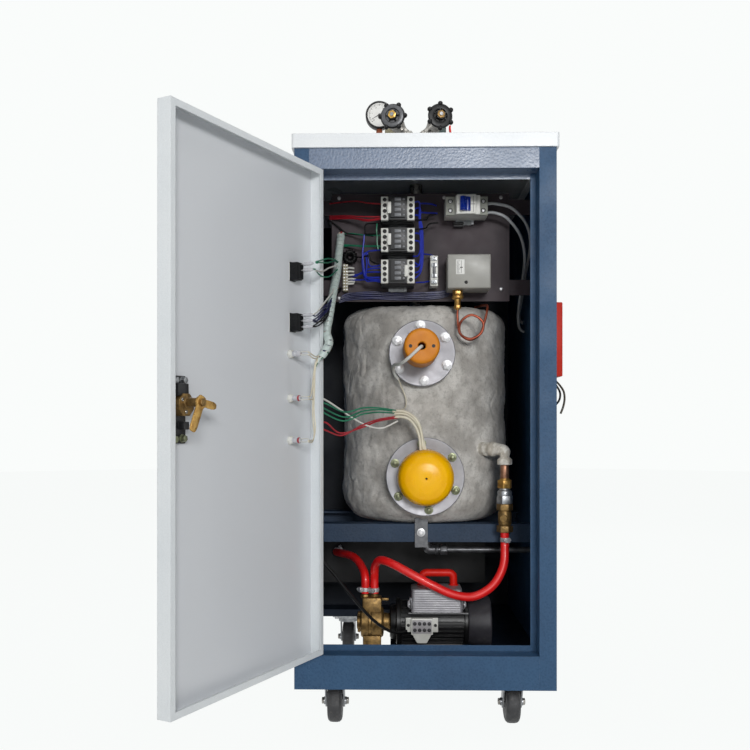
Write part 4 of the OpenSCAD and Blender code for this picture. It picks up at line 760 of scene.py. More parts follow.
# %% Heater leads, sleeves and the white lead of the upper cap
HEATER_GREEN = [
    [(-192, -262, 579), (-174, -246, 567), (-142, -226, 554), (-110, -204, 565), (-82, -192, 568), (-50, -188, 565)],
    [(-192, -262, 584), (-173, -246, 577), (-142, -228, 563), (-110, -208, 571), (-79, -194, 571), (-47, -189, 566)],
    [(-192, -262, 574), (-176, -248, 560), (-144, -228, 547), (-112, -206, 559), (-84, -190, 563), (-52, -187, 562)],
]
HEATER_RED = [
    [(-192, -262, 543), (-175, -246, 544), (-151, -226, 525), (-112, -208, 535), (-82, -195, 547), (-46, -190, 553)],
    [(-192, -262, 538), (-175, -246, 530), (-147, -226, 521), (-112, -210, 539), (-81, -198, 550), (-49, -191, 555)],
]
HEATER_WHITE = [
    [(-192, -262, 591), (-175, -246, 584), (-151, -230, 568), (-128, -216, 552), (-101, -204, 538), (-75, -196, 534),
        (-46, -190, 547)],
]
SLEEVES = [
    [(-56, -188, 565), (-44, -188, 566), (-29, -187, 563), (-11, -187, 549), (-2.6, -187, 526), (1.6, -187, 494)],
    [(-53, -190, 554), (-42, -191, 555), (-26, -192, 551), (-13, -191, 536), (-6, -190, 516), (-3.6, -189, 493)],
    [(-53, -186, 560), (-42, -185, 561), (-26, -185, 557), (-10, -185, 542), (-1.6, -185, 519), (5.4, -186, 493)],
]
put("heater_leads_green", [wire(p, 3.0, 5) for p in HEATER_GREEN], F["wire_green"])
put("heater_leads_red", [wire(p, 3.0, 5) for p in HEATER_RED], F["wire_red"])
put("heater_lead_white", [wire(p, 3.4, 5) for p in HEATER_WHITE], F["wire_white"])
put("heater_sleeves", [wire(p, 5.4, 4, 12) for p in SLEEVES], F["wire_cream"])
CAP_LEAD = [(-3.5, -236, 680.5), (-4, -254, 680), (-7, -263.5, 677.5), (-17, -266, 668), (-31, -258, 656),
    (-42, -240, 650), (-50, -212, 650), (-54, -180, 649), (-54, -161, 641),
    (-50, -159, 632), (-45, -157.5, 626)]
put("upper_cap_lead", [wire(CAP_LEAD, 6.0, 4, 12)], F["wire_white"])
THIN_LEAD = [(-47, -158, 629), (-43, -154, 622), (-40, -147, 615), (-35, -143.5, 603), (-31, -143, 592),
    (-30, -146, 580), (-33, -160, 571),
    (-42, -180, 567)]
put("thin_lead", [wire(THIN_LEAD, 2.6, 4)], F["wire_cream"])
print("leads on the vessel: 9")


# %% [markdown]
# ## The switch panel
#
# Three contactors stand in a column, each a black moulding with a white terminal strip at both ends, four screws to
# a strip, and grey ribs between. They are one model placed three times. Blocks with eased edges are enough, because
# real mouldings are blocks too, and what makes them read right is the number and the size of the small parts.

# %% Contactors
PANEL_FACE = -107.0
CONTACTOR_X, CONTACTOR_Z = -46.0, (945.1, 886.05, 827.0)


def facing(x0, x1, z0, z1, y_front, y_back, soft=0.6, corner=None):
    """An upright block whose easing is strongest on the side that faces the front."""
    line = oblong(x1 - x0, z1 - z0, soft * 1.4 if corner is None else corner, ((x0 + x1) / 2, (z0 + z1) / 2))
    points, faces = raised(line, 0, y_back - y_front, soft)
    return np.column_stack([points[:, 0], y_back - points[:, 2], points[:, 1]]), faces


body, strips, ribs, holes, tabs = [], [], [], [], []
for z in CONTACTOR_Z:
    x = CONTACTOR_X
    body.append(facing(x - 31.5, x + 31.5, z - 23.5, z + 23.5, -150, PANEL_FACE - 8, 0.8))
    body.append(facing(x - 30.5, x + 30.5, z - 22.5, z + 22.5, -166, -149, 0.7))
    body.append(facing(x - 17.5, x + 17.5, z - 22.5, z + 22.5, -180, -165, 0.8))
    body.append(facing(x - 14, x + 14, z - 19, z + 19, -185, -179, 0.8))
    for s in (-1, 1):
        strips.append(facing(x + s * 24.5 - 7, x + s * 24.5 + 7, z - 22, z + 22, -176, -165, 0.7))
        for i in range(4):
            hz = z - 15.9 + i * 10.6
            strips.append(placed(turned([(0, 3.9), (1.0, 3.9), (1.0, 4.5), (0, 4.5)], 24), (x + s * 24.5, -176, hz),
                    FORWARD))
            # painted shade: a near-black disc behind each screw stands for the shade in its well, and the screw head
            # is near black too
            holes.append(placed(turned([(-0.4, 0), (-0.4, 4.0), (0.4, 4.0), (0.4, 0)], 20), (x + s * 24.5, -176, hz),
                    FORWARD))
            holes.append(screw((x + s * 24.5, -176.3, hz), FORWARD, 2.5, 0.9, turn=20 * i + 7 * s + z, slots=1
                    + i % 2))
    for i in range(4):
        rz = z - 14.5 + i * 9.7
        ribs.append(facing(x - 6, x + 6, rz - 3, rz + 3, -187, -184.5, 0.6))
        ribs.append(facing(x + 9, x + 13, rz - 1.6, rz + 1.6, -186, -184.5, 0.4))
    side = -1 if z > 840 else 1
    tabs.append(facing(x + side * 16 - 3.5, x + side * 16 + 3.5, z - 11, z + 10, -186.2, -180, 0.5))
put("contactor_bodies", body, F["black"], stands_for=["contactors"])
put("contactor_strips_fine", strips, F["white_plastic"], stands_for=["contactor_strips"])
put("contactor_screw_wells", holes, F["terminal_hole"])
put("contactor_ribs", ribs, F["grey_plastic"])
put("contactor_tabs", tabs, F["white_plastic"])
print("contactors:", len(CONTACTOR_Z), "with", len(holes), "terminal screws")

# %% The breaker, its toggle and its terminals
x, z = 84.0, 952.3
shell = [facing(x - 40, x + 40, z - 17, z + 17, -158, PANEL_FACE - 8, 0.8),
    facing(x - 21.5, x + 24.5, z - 18, z + 18, -171, -157, 0.7),
    facing(x - 20, x + 16, z - 18, z + 18, -176.6, -170, 0.7)]
ends = [facing(x + s * 31 - 8.5, x + s * 31 + 8.5, z - 17.5, z + 17.5, -162, -157, 0.6) for s in (-1, 1)]
F["breaker_grey"] = finish("breaker_grey", srgb(150, 152, 144), srgb(130, 132, 124), 12, (0.4, 0.52), 0.0,
    (0.8, 0.02), edge=0.3, gloss=0.25)
put("breaker_terminals", ends, F["breaker_grey"])
put("breaker_body", shell, F["white_plastic"], stands_for=["breaker"])
screws = [screw((x + s * 31, -162.1, z + dz), FORWARD, 3.0, 0.9, turn=40 * s + dz, slots=2) for s in (-1, 1)
    for dz in (-8.7, 8.7)]
put("breaker_screws", screws, F["bolt"])
# painted shade: near-black discs under the terminal screws stand for the shade in their wells; the two thin lines are
# the nose's dark seams
wells = [placed(turned([(-0.4, 0), (-0.4, 4.4), (0.2, 4.4), (0.2, 0)], 24), (x + s * 31, -162, z + dz), FORWARD)
    for s in (-1, 1) for dz in (-8.7, 8.7)]
wells += [facing(x - 18.5, x + 14.5, z - 0.35, z + 0.35, -176.9, -176, 0.1),
    facing(x + 10.8, x + 11.4, z - 15, z + 15, -176.9, -176, 0.1)]
put("breaker_wells", wells, F["terminal_hole"])
# %% The toggle's box
toggle_low, toggle_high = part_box("breaker_toggle")
print("toggle box (mm):", [round(v * 1000, 1) for v in toggle_low], [round(v * 1000, 1) for v in toggle_high])

# %% The pressure controller with its fitting
x, z = 88.0, 828.0
case = [facing(x - 40.5, x + 40.5, z - 32, z + 32, -170, PANEL_FACE - 1, 1.6, 2.2)]
put("controller_case", case, F["beige"], stands_for=["pressure_controller"])
lid_lines = [facing(x - 39, x + 39, z - 30.6, z + 30.6, -171.0, -169, 1.0, 2.0)]
put("controller_cover", lid_lines, F["beige"])
put("controller_screw", [screw((x - 6, -171.1, z - 21), FORWARD, 3.2, 1.2, slots=1)], F["terminal_hole"])
scale = [facing(x - 25, x - 9, z - 6, z + 22, -171.6, -170.5, 0.3)]
put("controller_window", scale, F["card"])
ticks = [facing(x - 23.5, x - (19.5 if i % 4 else 17.0), z - 4 + i * 1.9, z - 3.5 + i * 1.9, -171.9, -171.4, 0.08)
    for i in range(13)]
ticks.append(facing(x - 15.2, x - 14.6, z - 4, z + 20, -171.9, -171.4, 0.08))
ticks.append(facing(x - 17.6, x - 12.4, z + 6, z + 7.6, -172.1, -171.4, 0.15))
put("controller_scale_marks", ticks, F["terminal_hole"])
fx, fy = 68.0, -145.0
fitting = [placed(raised(hexagon(17), 0, 9, 0.6), (fx, fy, 787)),
    placed(turned([(0, 0), (0, 9), (2, 11), (6, 11), (9, 7), (9, 0)], 32, soft=0.8), (fx, fy, 778.5)),
    placed(turned([(0, 0), (0, 5), (1, 5.6), (10, 5.6), (12, 6.4), (14, 6.4), (14, 0)], 28), (fx, fy, 765.5)),
    placed(raised(hexagon(12), 0, 7, 0.5), (fx, fy, 760.5)),
    placed(turned([(0, 0), (0, 3.2), (3, 4.6), (3, 0)], 20), (fx, fy, 758))]
put("controller_fitting", fitting, F["brass"])

# %% The fuse holder, the terminal strip and the ring core left of them
fuse = [facing(16, 31, 805.2, 863.2, -140, PANEL_FACE, 0.8), facing(16.6, 30.4, 809, 859, -143, -139, 0.6)]
put("fuse_holder", fuse, F["white_plastic"], stands_for=["panel_terminals"])
clips = []
for dz in (812, 824, 844, 856):
    clips.append(facing(18, 29, dz - 3.6, dz + 3.6, -146, -142, 0.7))
clips += [screw((23.5, -146.1, dz), FORWARD, 2.6, 0.9, turn=dz, slots=1) for dz in (812, 856)]
put("fuse_clips", clips, F["zinc"])
put("fuse_glass", [placed(turned([(0, 0), (0, 2.8), (28, 2.8), (28, 0)], 20), (23.5, -144, 820))], F["grey_plastic"])
strip = [facing(-151, -143, 798.5, 850.5, -118, PANEL_FACE, 0.6)]
strip += [facing(-152, -142, 799 + i * 5.8, 803.9 + i * 5.8, -123, -117, 0.5) for i in range(9)]
put("terminal_strip", strip, F["ivory"])
put("strip_screws", [screw((-147 + dx, -123.1, 801.4 + i * 5.8), FORWARD, 1.7, 0.6, turn=i * 31, slots=1)
        for i in range(9) for dx in (-2.6, 2.6)], F["bolt"])
turns = []
for i in range(15):
    t = i * 2 * np.pi / 15
    loop = np.linspace(0, 2 * np.pi, 14, endpoint=False)
    r = 9.5 + 5.2 * np.cos(loop)
    turns.append(carried(np.column_stack([-138.5 + r * math.cos(t), -114.5 + 5.6 * np.sin(loop), 866.1 + r
                    * math.sin(t)]), 1.2, 6, closed=True))
ring = np.linspace(0, 2 * np.pi, 36, endpoint=False)
core = carried(np.column_stack([-138.5 + 9.5 * np.cos(ring), np.full(36, -114.5), 866.1 + 9.5 * np.sin(ring)]), 3.9,
    12, closed=True)
put("ring_core_winding", turns + [core], F["black_sheath"])
print("panel devices placed")

# %% Screws of the panel and its rails
fixings = [screw((px, PANEL_FACE - 0.2, pz), FORWARD, 3.6, 1.8, turn=px) for px,
    pz in ((155, 804), (45, 982), (-160, 982), (155, 982), (-160, 787))]
put("panel_screws", fixings, F["bolt"])
# %% [markdown]
# ## The wiring of the panel
#
# Thin coloured wires run from contactor to contactor, each with its own slack. Real wiring keeps to a few habits: it
# leaves a screw at a right angle, gathers in the gap beside the column, and sinks to the panel in between. Each wire
# here is a handful of points with those habits, and the smooth line does the rest.

# %% Wires between the devices
PANEL_WIRES = {
    "red": [
        [(-178, -112, 970), (-147, -130, 969), (-124, -142, 967), (-103, -152, 961), (-75, -160, 957)],
        [(-178, -112, 946), (-147, -130, 942), (-124, -142, 938), (-103, -152, 935), (-75, -160, 933)],
        [(-178, -112, 943), (-147, -128, 940), (-124, -140, 935), (-104, -150, 930), (-75, -160, 930)],
        [(-178, -112, 940), (-147, -126, 938), (-124, -138, 934), (-104, -148, 928), (-75, -160, 929)],
    ],
    "green": [
        [(-148, -114, 911), (-134, -120, 910), (-111, -135, 904), (-86, -155, 899), (-75, -158, 898)],
        [(-152, -114, 890), (-134, -122, 887), (-111, -135, 883), (-86, -155, 879), (-75, -158, 878)],
        [(-152, -114, 887), (-134, -122, 886), (-111, -135, 882), (-86, -155, 878), (-75, -158, 876)],
        [(-85, -160, 920), (-86, -162, 908), (-85, -160, 897), (-85, -160, 885), (-83, -160, 871)],
    ],
    "black": [
        [(-181, -112, 940), (-160, -114, 924), (-146, -116, 912), (-134, -120, 909), (-111, -134, 904),
            (-92, -150, 899)],
        [(-75, -160, 920), (-104, -145, 923), (-108, -142, 918), (-108, -142, 909), (-107, -144, 904),
            (-83, -158, 901)],
        [(-128, -120, 867), (-119, -130, 862), (-101, -150, 861), (-98, -150, 852), (-86, -158, 845)],
        [(-101, -150, 867), (-99, -150, 858), (-95, -152, 849), (-82, -158, 844)],
        [(-17, -160, 926), (0, -150, 929), (9, -140, 932), (15, -134, 942), (28, -130, 944)],
        [(-17, -160, 908), (1, -150, 912), (8, -140, 916), (15, -134, 925), (31, -130, 928)],
    ],
    "blue": [
        [(-110, -138, 904), (-111, -138, 890), (-113, -140, 866), (-111, -142, 845), (-109, -145, 824),
            (-101, -150, 820), (-75, -158, 819)],
        [(-75, -158, 871), (-92, -150, 871), (-104, -144, 870), (-106, -142, 860), (-105, -142, 845),
            (-107, -144, 826), (-101, -150, 817), (-75, -158, 815)],
        [(-75, -158, 842), (-99, -145, 843), (-103, -142, 866), (-108, -142, 868), (-113, -140, 860),
            (-113, -140, 843), (-107, -142, 816), (-92, -152, 813), (-75, -158, 812)],
        [(-137, -118, 829), (-119, -130, 830), (-101, -145, 831), (-75, -158, 829)],
        [(-137, -118, 821), (-119, -128, 819), (-101, -142, 817), (-75, -158, 809)],
        [(-137, -118, 830), (-128, -122, 827), (-116, -132, 832), (-101, -145, 837), (-75, -158, 836)],
        [(-17, -160, 959), (-5, -152, 962), (-5, -150, 934), (-1, -150, 911), (0, -150, 858), (-5, -152, 832),
            (-17, -160, 827)],
        [(-17, -160, 947), (-4, -150, 951), (-3, -148, 931), (1, -148, 911), (2, -148, 859), (-3, -150, 829),
            (-17, -160, 814)],
        [(-17, -160, 936), (-6, -152, 936), (-5, -150, 922), (-3, -150, 902), (-2, -150, 865), (-6, -152, 842),
            (-17, -160, 839)],
        [(-17, -160, 901), (-6, -152, 903), (-2, -148, 894), (-1, -148, 859), (-5, -150, 844), (-17, -160, 848)],
        [(-17, -160, 888), (-5, -152, 887), (-3, -150, 873), (-8, -154, 860), (-17, -160, 858)],
        [(-5, -150, 960), (8, -135, 964), (21, -120, 966), (29, -114, 965)],
        [(-2, -150, 943), (10, -135, 946), (23, -120, 949), (31, -114, 950)],
        [(1, -146, 865), (14, -130, 867), (22, -114, 868), (25, -112, 864)],
        [(-11, -158, 809), (2, -140, 812), (17, -120, 817), (23, -112, 816)],
    ],
}
for tone, runs in PANEL_WIRES.items():
    thick = 2.6 if tone in ("red", "green") else 2.9
    finish_name = {"red": "wire_red", "green": "wire_green", "black": "black_sheath", "blue": "wire_blue"}[tone]
    put("panel_wires_" + tone, [wire(p, thick, 4) for p in runs], F[finish_name])
F["wire_navy"] = finish("wire_navy", srgb(26, 30, 84), srgb(20, 22, 62), 20, (0.34, 0.44), 0.0, (1, 0.01), edge=0.0)
bundle = []
for i in range(7):
    dy, dz = -2.0 - 2.4 * (i % 2) - (i // 4) * 0.8, 784.0 + i * 2.1
    bundle.append(wire([(-160 + i, PANEL_FACE + dy, dz - 6), (-140, PANEL_FACE + dy, dz + (i % 3) - 1),
                (-95, PANEL_FACE + dy - 2, dz + 1.5 - (i % 2)),
                (-45, PANEL_FACE + dy - 1, dz - 1 + (i % 3)), (5, PANEL_FACE + dy - 2, dz + (i % 2)),
                (36, PANEL_FACE + dy, dz + 2), (52 + i, PANEL_FACE + dy, dz + 6)], 2.7, 6))
put("panel_bundle", bundle, F["wire_navy"])
ferrules = []
for i, (fx, fz) in enumerate(((-139, 812), (-137.5, 816.5), (-136, 822), (-138, 829), (-139, 836), (-138.5, 843))):
    ferrules.append(wire([(-143.5, -120.5, fz), (fx, -121.5, fz + 0.6), (fx + 9, -122 - i % 2, fz + 1 - i % 3)], 3.4,
            3, 10))
put("strip_ferrules", ferrules, F["wire_white"])
clip = [facing(62, 82, 928, 933, -116, PANEL_FACE, 0.6), placed(turned([(0, 0), (0, 3.2), (18, 3.2), (18, 0)], 16),
        (63, -116, 925), (1, 0, 0))]
put("panel_clip", clip, F["black"])
print("panel wires:", sum(len(r) for r in PANEL_WIRES.values()) + len(bundle))


# %% [markdown]
# ## The inside of the door
#
# The open door carries two switches, three signal lamps and a quarter-turn lock. They sit square to the door, which
# stands open by 117 degrees. So they are built in the door's own coordinates, where s is the way from the hinge, t
# the depth inwards and z the height, and one rotation carries them to their place.

# %% The door's own coordinates
OPEN = math.radians(117.0)
DOOR_AXES = np.array([[math.cos(OPEN), -math.sin(OPEN), 0.0], [math.sin(OPEN), math.cos(OPEN), 0.0], [0.0, 0.0, 1.0]])
DOOR_ORIGIN = np.array([-194.5, -310.0, 0.0])
INWARD = (0, 1, 0)


def on_door(shells):
    """Turns shells given in (s, t, z) about the hinge: x = x0 + s cos 117 + t sin 117, y = y0 - s sin 117 + t cos
    117."""
    return [(points @ DOOR_AXES + DOOR_ORIGIN, faces) for points, faces in shells]


def tab(s, z, length=6.0):
    """A flat blade of a switch, 6 mm long and 0.8 mm thick, at the back of the case."""
    return box(s - 2.4, s + 2.4, 20.5, 20.5 + length, z - 0.4, z + 0.4, 0.2)


def lying(profile, s, t, z, steps=24):
    """A turned piece whose axis points inwards from the door's skin."""
    return placed(turned(profile, steps), (s, t, z), INWARD)


# %% Two switches and three lamps
cases, blades, sleeves = [], [], []
for z, tabs_at in ((793.0, (804.0, 794.0)), (709.0, (720.0, 711.0, 701.0))):
    cases.append(box(56.5, 72.5, 1.6, 4.4, z - 15.6, z + 15.6, 0.7))
    cases.append(box(57.0, 72.0, 3.0, 17.0, z - 14.6, z + 14.6, 0.9))
    cases.append(box(58.4, 70.6, 16.0, 20.8, z - 13.2, z + 13.2, 0.9))
    cases.append(box(56.2, 57.4, 7.0, 14.0, z - 6.0, z + 6.0, 0.4))
    cases.append(box(71.6, 72.8, 7.0, 14.0, z - 6.0, z + 6.0, 0.4))
    for tz in tabs_at:
        blades.append(tab(64.5, tz))
        sleeves.append(lying([(0, 0), (0, 2.6), (1, 3.1), (14, 3.1), (17, 2.2), (18.5, 1.7), (18.5, 0)], 64.5, 24.5,
                tz, 16))
F["switch_black"] = finish("switch_black", srgb(12, 13, 15), srgb(18, 19, 21), 16, (0.42, 0.54), 0.0, (0.7, 0.02),
    edge=0.3, gloss=0.2)
put("door_switches", on_door(cases), F["switch_black"], "door", stands_for=["door_fittings"])
put("switch_blades", on_door(blades), F["bolt"], "door")
F["sleeve"] = finish("crimp_sleeve", srgb(196, 196, 200), srgb(176, 178, 184), 8, (0.2, 0.32), 0.0, (0.8, 0.02),
    edge=0.0,
    dirt=(6, 0.6, 0.4, srgb(150, 150, 156)), coat=0.4)
put("switch_crimps", on_door(sleeves), F["sleeve"], "door")
nuts, bodies, rings, prongs = [], [], [], []
for z in (657.0, 584.0, 515.0):
    nuts.append(placed(raised(hexagon(13, 0.8), 1.6, 7.0, 0.8), (72, 0, z), INWARD, 12))
    nuts.append(lying([(0, 0), (0, 5.4), (3, 5.4), (3, 0)], 72, 6.6, z))
    bodies.append(lying([(0, 0), (0, 4.2), (1, 4.6), (5, 4.6), (5.6, 4.1), (9, 4.1), (9.6, 4.6), (14, 4.4), (15, 3.4),
                (15, 0)], 72, 9, z))
    if z < 650:
        rings.append(lying([(0, 0), (0, 4.7), (0.6, 4.95), (2.6, 4.95), (3.2, 4.7), (3.2, 0)], 72, 19.4, z))
    for dz in (-2.2, 2.2):
        prongs.append(wire([(72, 23, z + dz), (71.6, 30, z + dz * 1.3), (71, 38, z + dz * 1.1)], 1.8, 3, 8))
put("lamp_nuts", on_door(nuts), F["white_plastic"], "door")
put("lamp_bodies", on_door(bodies), F["sleeve"], "door")
put("lamp_rings", on_door(rings), F["wire_red"], "door")
put("lamp_prongs", on_door(prongs), F["wire_white"], "door")

# %% The lock: a dark plate with nuts, a brass case, and the cam that turns
plate = [box(334, 370, 1.6, 5.6, 515, 608, 1.0, 3.0), box(340, 362, 5.0, 17.0, 580, 597, 1.2, 3.0),
    box(338, 350, 5.0, 16.0, 534, 545, 1.2, 2.5)]
F["old_brass"] = finish("dirty_brass", srgb(150, 120, 72), srgb(112, 88, 52), 8, (0.34, 0.56), 0.75, (1.2, 0.08),
    edge=0.4,
    dirt=(6, 0.5, 0.6, srgb(60, 50, 36)))
put("lock_plate", on_door(plate), F["lock_black"], "door", stands_for=["door_lock"])
case = [placed(raised(ring_line(16.5, 8, math.pi / 8), 0, 14, 1.0), (348, 5.4, 568), INWARD),
    lying([(0, 0), (0, 8), (2, 8), (3, 6.2), (21, 6.2), (21.5, 8.4), (22.6, 8.4), (22.6, 0)], 348, 19, 571, 32)]
put("lock_case", on_door(case), F["old_brass"], "door")
case_screws = [screw((348 + ds, 19.5, z), INWARD, 2.6, 1.3, turn=ds * 9) for ds,
    z in ((-8, 576), (9, 575), (1, 558.5))]
put("lock_case_screws", on_door(case_screws), F["nickel"], "door")
hex_dark = [s for ds, z in ((341, 602), (358, 601.5)) for s in bolt((ds, 5.6, z), INWARD, 8.0, 5.5, 5.4, turn=z)]
hex_olive = [s for ds, z in ((342, 522.0), (360, 521.0)) for s in bolt((ds, 5.6, z), INWARD, 8.6, 5.5, 5.8, turn=ds)]
put("lock_nuts_dark", on_door(hex_dark), F["steel"], "door")
put("lock_nuts_olive", on_door(hex_olive), F["stud"], "door")
cam_turn = math.radians(-65)
arm = np.array([[-9, -6.5], [36, -6.5], [43, -4.5], [43, 4.5], [36, 6.5], [-9, 6.5]], float)
tail_line = np.array([[-4, -5.4], [26, -5.4], [32, -3.2], [32, 3.2], [26, 5.4], [-4, 5.4]], float)


def cam_plate(outline, angle, low, high):
    """A flat plate in the plane of s and z about the lock's centre, turned by an angle, between two depths."""
    points, faces = raised(softened(outline, 2.4, 3, closed=True), 0, high - low, 0.5)
    c, s = math.cos(angle), math.sin(angle)
    flat = np.column_stack([348 + c * points[:, 0] - s * points[:, 1], low + points[:, 2], 571 + s * points[:, 0] + c
            * points[:, 1]])
    return flat, faces


cam = [cam_plate(arm, cam_turn, 42, 45), cam_plate(tail_line, cam_turn - math.radians(105), 42.1, 44.9)]
cam.append(lying([(0, 0), (0, 9.2), (3.2, 9.2), (3.8, 8.4), (3.8, 0)], 348, 41.8, 571, 32))
put("lock_cam_plate", on_door(cam), F["brass"], "lock", stands_for=["lock_cam"])
hub = [lying([(0, 0), (0, 4.6), (4, 4.6), (4, 0)], 348, 38, 571, 20),
    placed(raised(hexagon(10), 0, 3.6, 0.5), (348, 45.2, 571), INWARD, 20)]
put("lock_cam_nut", on_door(hub), F["old_brass"], "lock")
print("door: 2 switches, 3 lamps, one lock")


# %% [markdown]
# ## The loom between the cabinet and the door
#
# The loom is a bundle of thin wires in a spiral of milky plastic. It is fixed to the panel at one end and to the door
# at the other. The bundle twists slowly, so its wires are helices about the loom's middle line, and the spiral is a
# flat strip on a steeper helix. Its middle part would swing with the door; here the whole loom is baked in place and
# rides on neither body.

# %% The loom and its wires
LOOM = [(-155, -107, 906), (-155, -124, 906), (-157, -164, 862), (-158, -202, 821), (-163, -250, 771),
    (-167, -288, 726),
    (-169.5, -308, 700), (-164.5, -324, 680), (-170.5, -336, 664), (-180.4, -340, 651), (-186.2, -338, 638)]


def frame_along(path):
    """Two cross directions at each point of a path, carried along so that they turn as little as they can."""
    along = np.gradient(path, axis=0)
    along /= np.linalg.norm(along, axis=1)[:, None]
    first = np.cross(along[0], [0.13, 0.31, 0.94])
    x = [first / np.linalg.norm(first)]
    for t in along[1:]:
        v = x[-1] - t * (x[-1] @ t)
        x.append(v / np.linalg.norm(v))
    x = np.array(x)
    return x, np.cross(along, x)


def helix(path, radius, pitch, phase):
    """A line that winds about a path: point + r (cos w x + sin w y), where w grows by a full turn in each pitch."""
    x, y = frame_along(path)
    way = np.concatenate([[0], np.cumsum(np.linalg.norm(np.diff(path, axis=0), axis=1))])
    w = 2 * np.pi * way / pitch + phase
    r = np.broadcast_to(radius, len(path))[:, None]
    return path + r * (np.cos(w)[:, None] * x + np.sin(w)[:, None] * y)


def strip(path, radius, pitch, width, thick):
    """A flat strip wound about a path: a rectangle width by thick whose long side follows the path and whose short
    side points outwards."""
    x, y = frame_along(path)
    along = np.gradient(path, axis=0)
    along /= np.linalg.norm(along, axis=1)[:, None]
    way = np.concatenate([[0], np.cumsum(np.linalg.norm(np.diff(path, axis=0), axis=1))])
    w = 2 * np.pi * way / pitch
    outwards = np.cos(w)[:, None] * x + np.sin(w)[:, None] * y
    r = np.broadcast_to(radius, len(path))[:, None]
    low, high = path + outwards * (r - thick / 2), path + outwards * (r + thick / 2)
    half = along * width / 2
    return grid(np.stack([low - half, low + half, high + half, high - half], axis=1))


middle = smooth_path(LOOM, 1.2)
way = np.linspace(0, 1, len(middle))
taper = np.clip((1 - way) / 0.07, 0.35, 1)
tones = ("wire_white", "wire_green", "wire_white", "wire_navy", "wire_white", "wire_red", "wire_cream")
for tone in dict.fromkeys(tones):
    runs = [carried(helix(middle, 4.3 * taper, 260, i * 2 * np.pi / 7)[::4], 1.9 * taper[::4] + 0.2, 8) for i,
        t in enumerate(tones) if t == tone]
    runs += [carried(middle[::4], 2.0, 8)] if tone == "wire_white" else []
    put("loom_" + tone, runs, F[tone], body=("cabinet", "door"), stands_for=["door_loom"]
        if tone == "wire_white" else ())
F["wrap"] = finish("spiral_wrap", srgb(196, 208, 202), srgb(182, 196, 192), 30, (0.22, 0.34), 0.0, (0.9, 0.02),
    edge=0.0,
    dirt=(14, 0.6, 0.35, srgb(214, 196, 196)), coat=0.3)
inside = (way > 0.05) & (way < 0.985)
put("loom_wrap", [strip(middle[inside], 7.2 * taper[inside], 11.5, 10.4, 0.8)], F["wrap"], body=("cabinet", "door"),
    sharp=60)
print("loom length %.0f mm" % np.linalg.norm(np.diff(middle, axis=0), axis=1).sum())

# %% Wires from the loom to the switches and lamps
DOOR_WIRES = {
    "wire_green": (2.4, [[(-178, -392, 805), (-181, -388, 806), (-177, -370, 811), (-166, -320, 824),
                (-158, -265, 832), (-155, -226, 836)],
            [(-178, -392, 803), (-181, -388, 805), (-175, -365, 809), (-167, -310, 819), (-159, -260, 831),
                (-156, -224, 835)],
            [(-182, -389, 794), (-189, -378, 797), (-184, -365, 797), (-179, -340, 793), (-172, -305, 795),
                (-164, -265, 805), (-156, -226, 822)]]),
    "wire_white": (2.8, [[(-184, -386, 795), (-181, -360, 796), (-174, -320, 803), (-168, -280, 815),
                (-159, -250, 824), (-157, -222, 829)],
            [(-186, -388, 720), (-182, -370, 725), (-174, -340, 742), (-166, -290, 764), (-162, -262, 776),
                (-161, -242, 786)]]),
    "wire_navy": (2.3, [[(-186, -388, 720), (-183, -368, 725), (-174, -340, 738), (-167, -300, 750),
                (-163, -262, 765)],
            [(-186, -388, 719), (-182, -365, 721), (-173, -335, 736), (-167, -298, 747), (-163, -264, 761)],
            [(-186, -388, 711), (-182, -370, 716), (-175, -340, 728), (-168, -302, 741), (-164, -270, 756)],
            [(-186, -388, 711), (-181, -360, 714), (-172, -332, 728), (-167, -298, 740), (-164, -272, 752)],
            [(-186, -388, 710), (-183, -370, 710), (-177, -345, 722), (-169, -308, 736), (-166, -276, 750)]]),
    "black_sheath": (2.3, [[(-186, -388, 701), (-181, -360, 709), (-174, -335, 721), (-169, -308, 731),
                (-166, -284, 742)],
            [(-186, -388, 700), (-180, -358, 705), (-173, -332, 715), (-169, -312, 724), (-167, -292, 732)],
            [(-186, -388, 711), (-181, -360, 711), (-174, -335, 717), (-169, -310, 726), (-166, -282, 740)]]),
    "wire_cream": (2.2, [[(-180, -340, 656), (-184, -346, 646), (-187, -346, 633), (-189, -346, 598),
                (-190, -346, 567), (-189, -346, 542), (-187, -350, 526), (-188, -365, 515), (-193, -391, 515)],
            [(-179, -340, 656), (-183, -344, 646), (-186, -344, 633), (-187, -344, 598), (-188, -344, 567),
                (-186, -344, 542), (-186, -350, 526), (-189, -368, 512), (-193, -391, 513)],
            [(-181, -340, 656), (-185, -347, 645), (-188, -348, 628), (-190, -352, 604), (-191, -370, 589),
                (-193, -391, 586)],
            [(-180, -340, 655), (-184, -346, 645), (-186, -347, 628), (-188, -348, 600), (-188, -360, 584),
                (-193, -391, 582)],
            [(-178, -340, 659), (-181, -350, 655), (-185, -368, 654), (-193, -391, 659)],
            [(-179, -340, 658), (-182, -350, 652), (-186, -370, 650), (-193, -391, 655)]]),
    "wire_red": (2.0, [[(-180, -340, 655), (-183, -343, 646), (-186, -344, 638), (-188, -345, 612)],
            [(-181, -340, 655), (-184, -346, 645), (-187, -346, 636), (-189, -347, 616)]]),
}
for tone, (thick, runs) in DOOR_WIRES.items():
    put("door_" + tone, [wire(p, thick, 4) for p in runs], F[tone], body=("cabinet", "door"))
print("door wires:", sum(len(r) for _, r in DOOR_WIRES.values()))


# %% [markdown]
# ## Feed water and drain
#
# The feed enters the lagged vessel through an elbow smeared with cement. Under it stand a nut, a nipple, a union, and
# a swing check valve as a short brass barrel between two hexagons. Turned profiles and hexagons are all that plumbing
# needs, because each fitting was turned from bar or cast round.

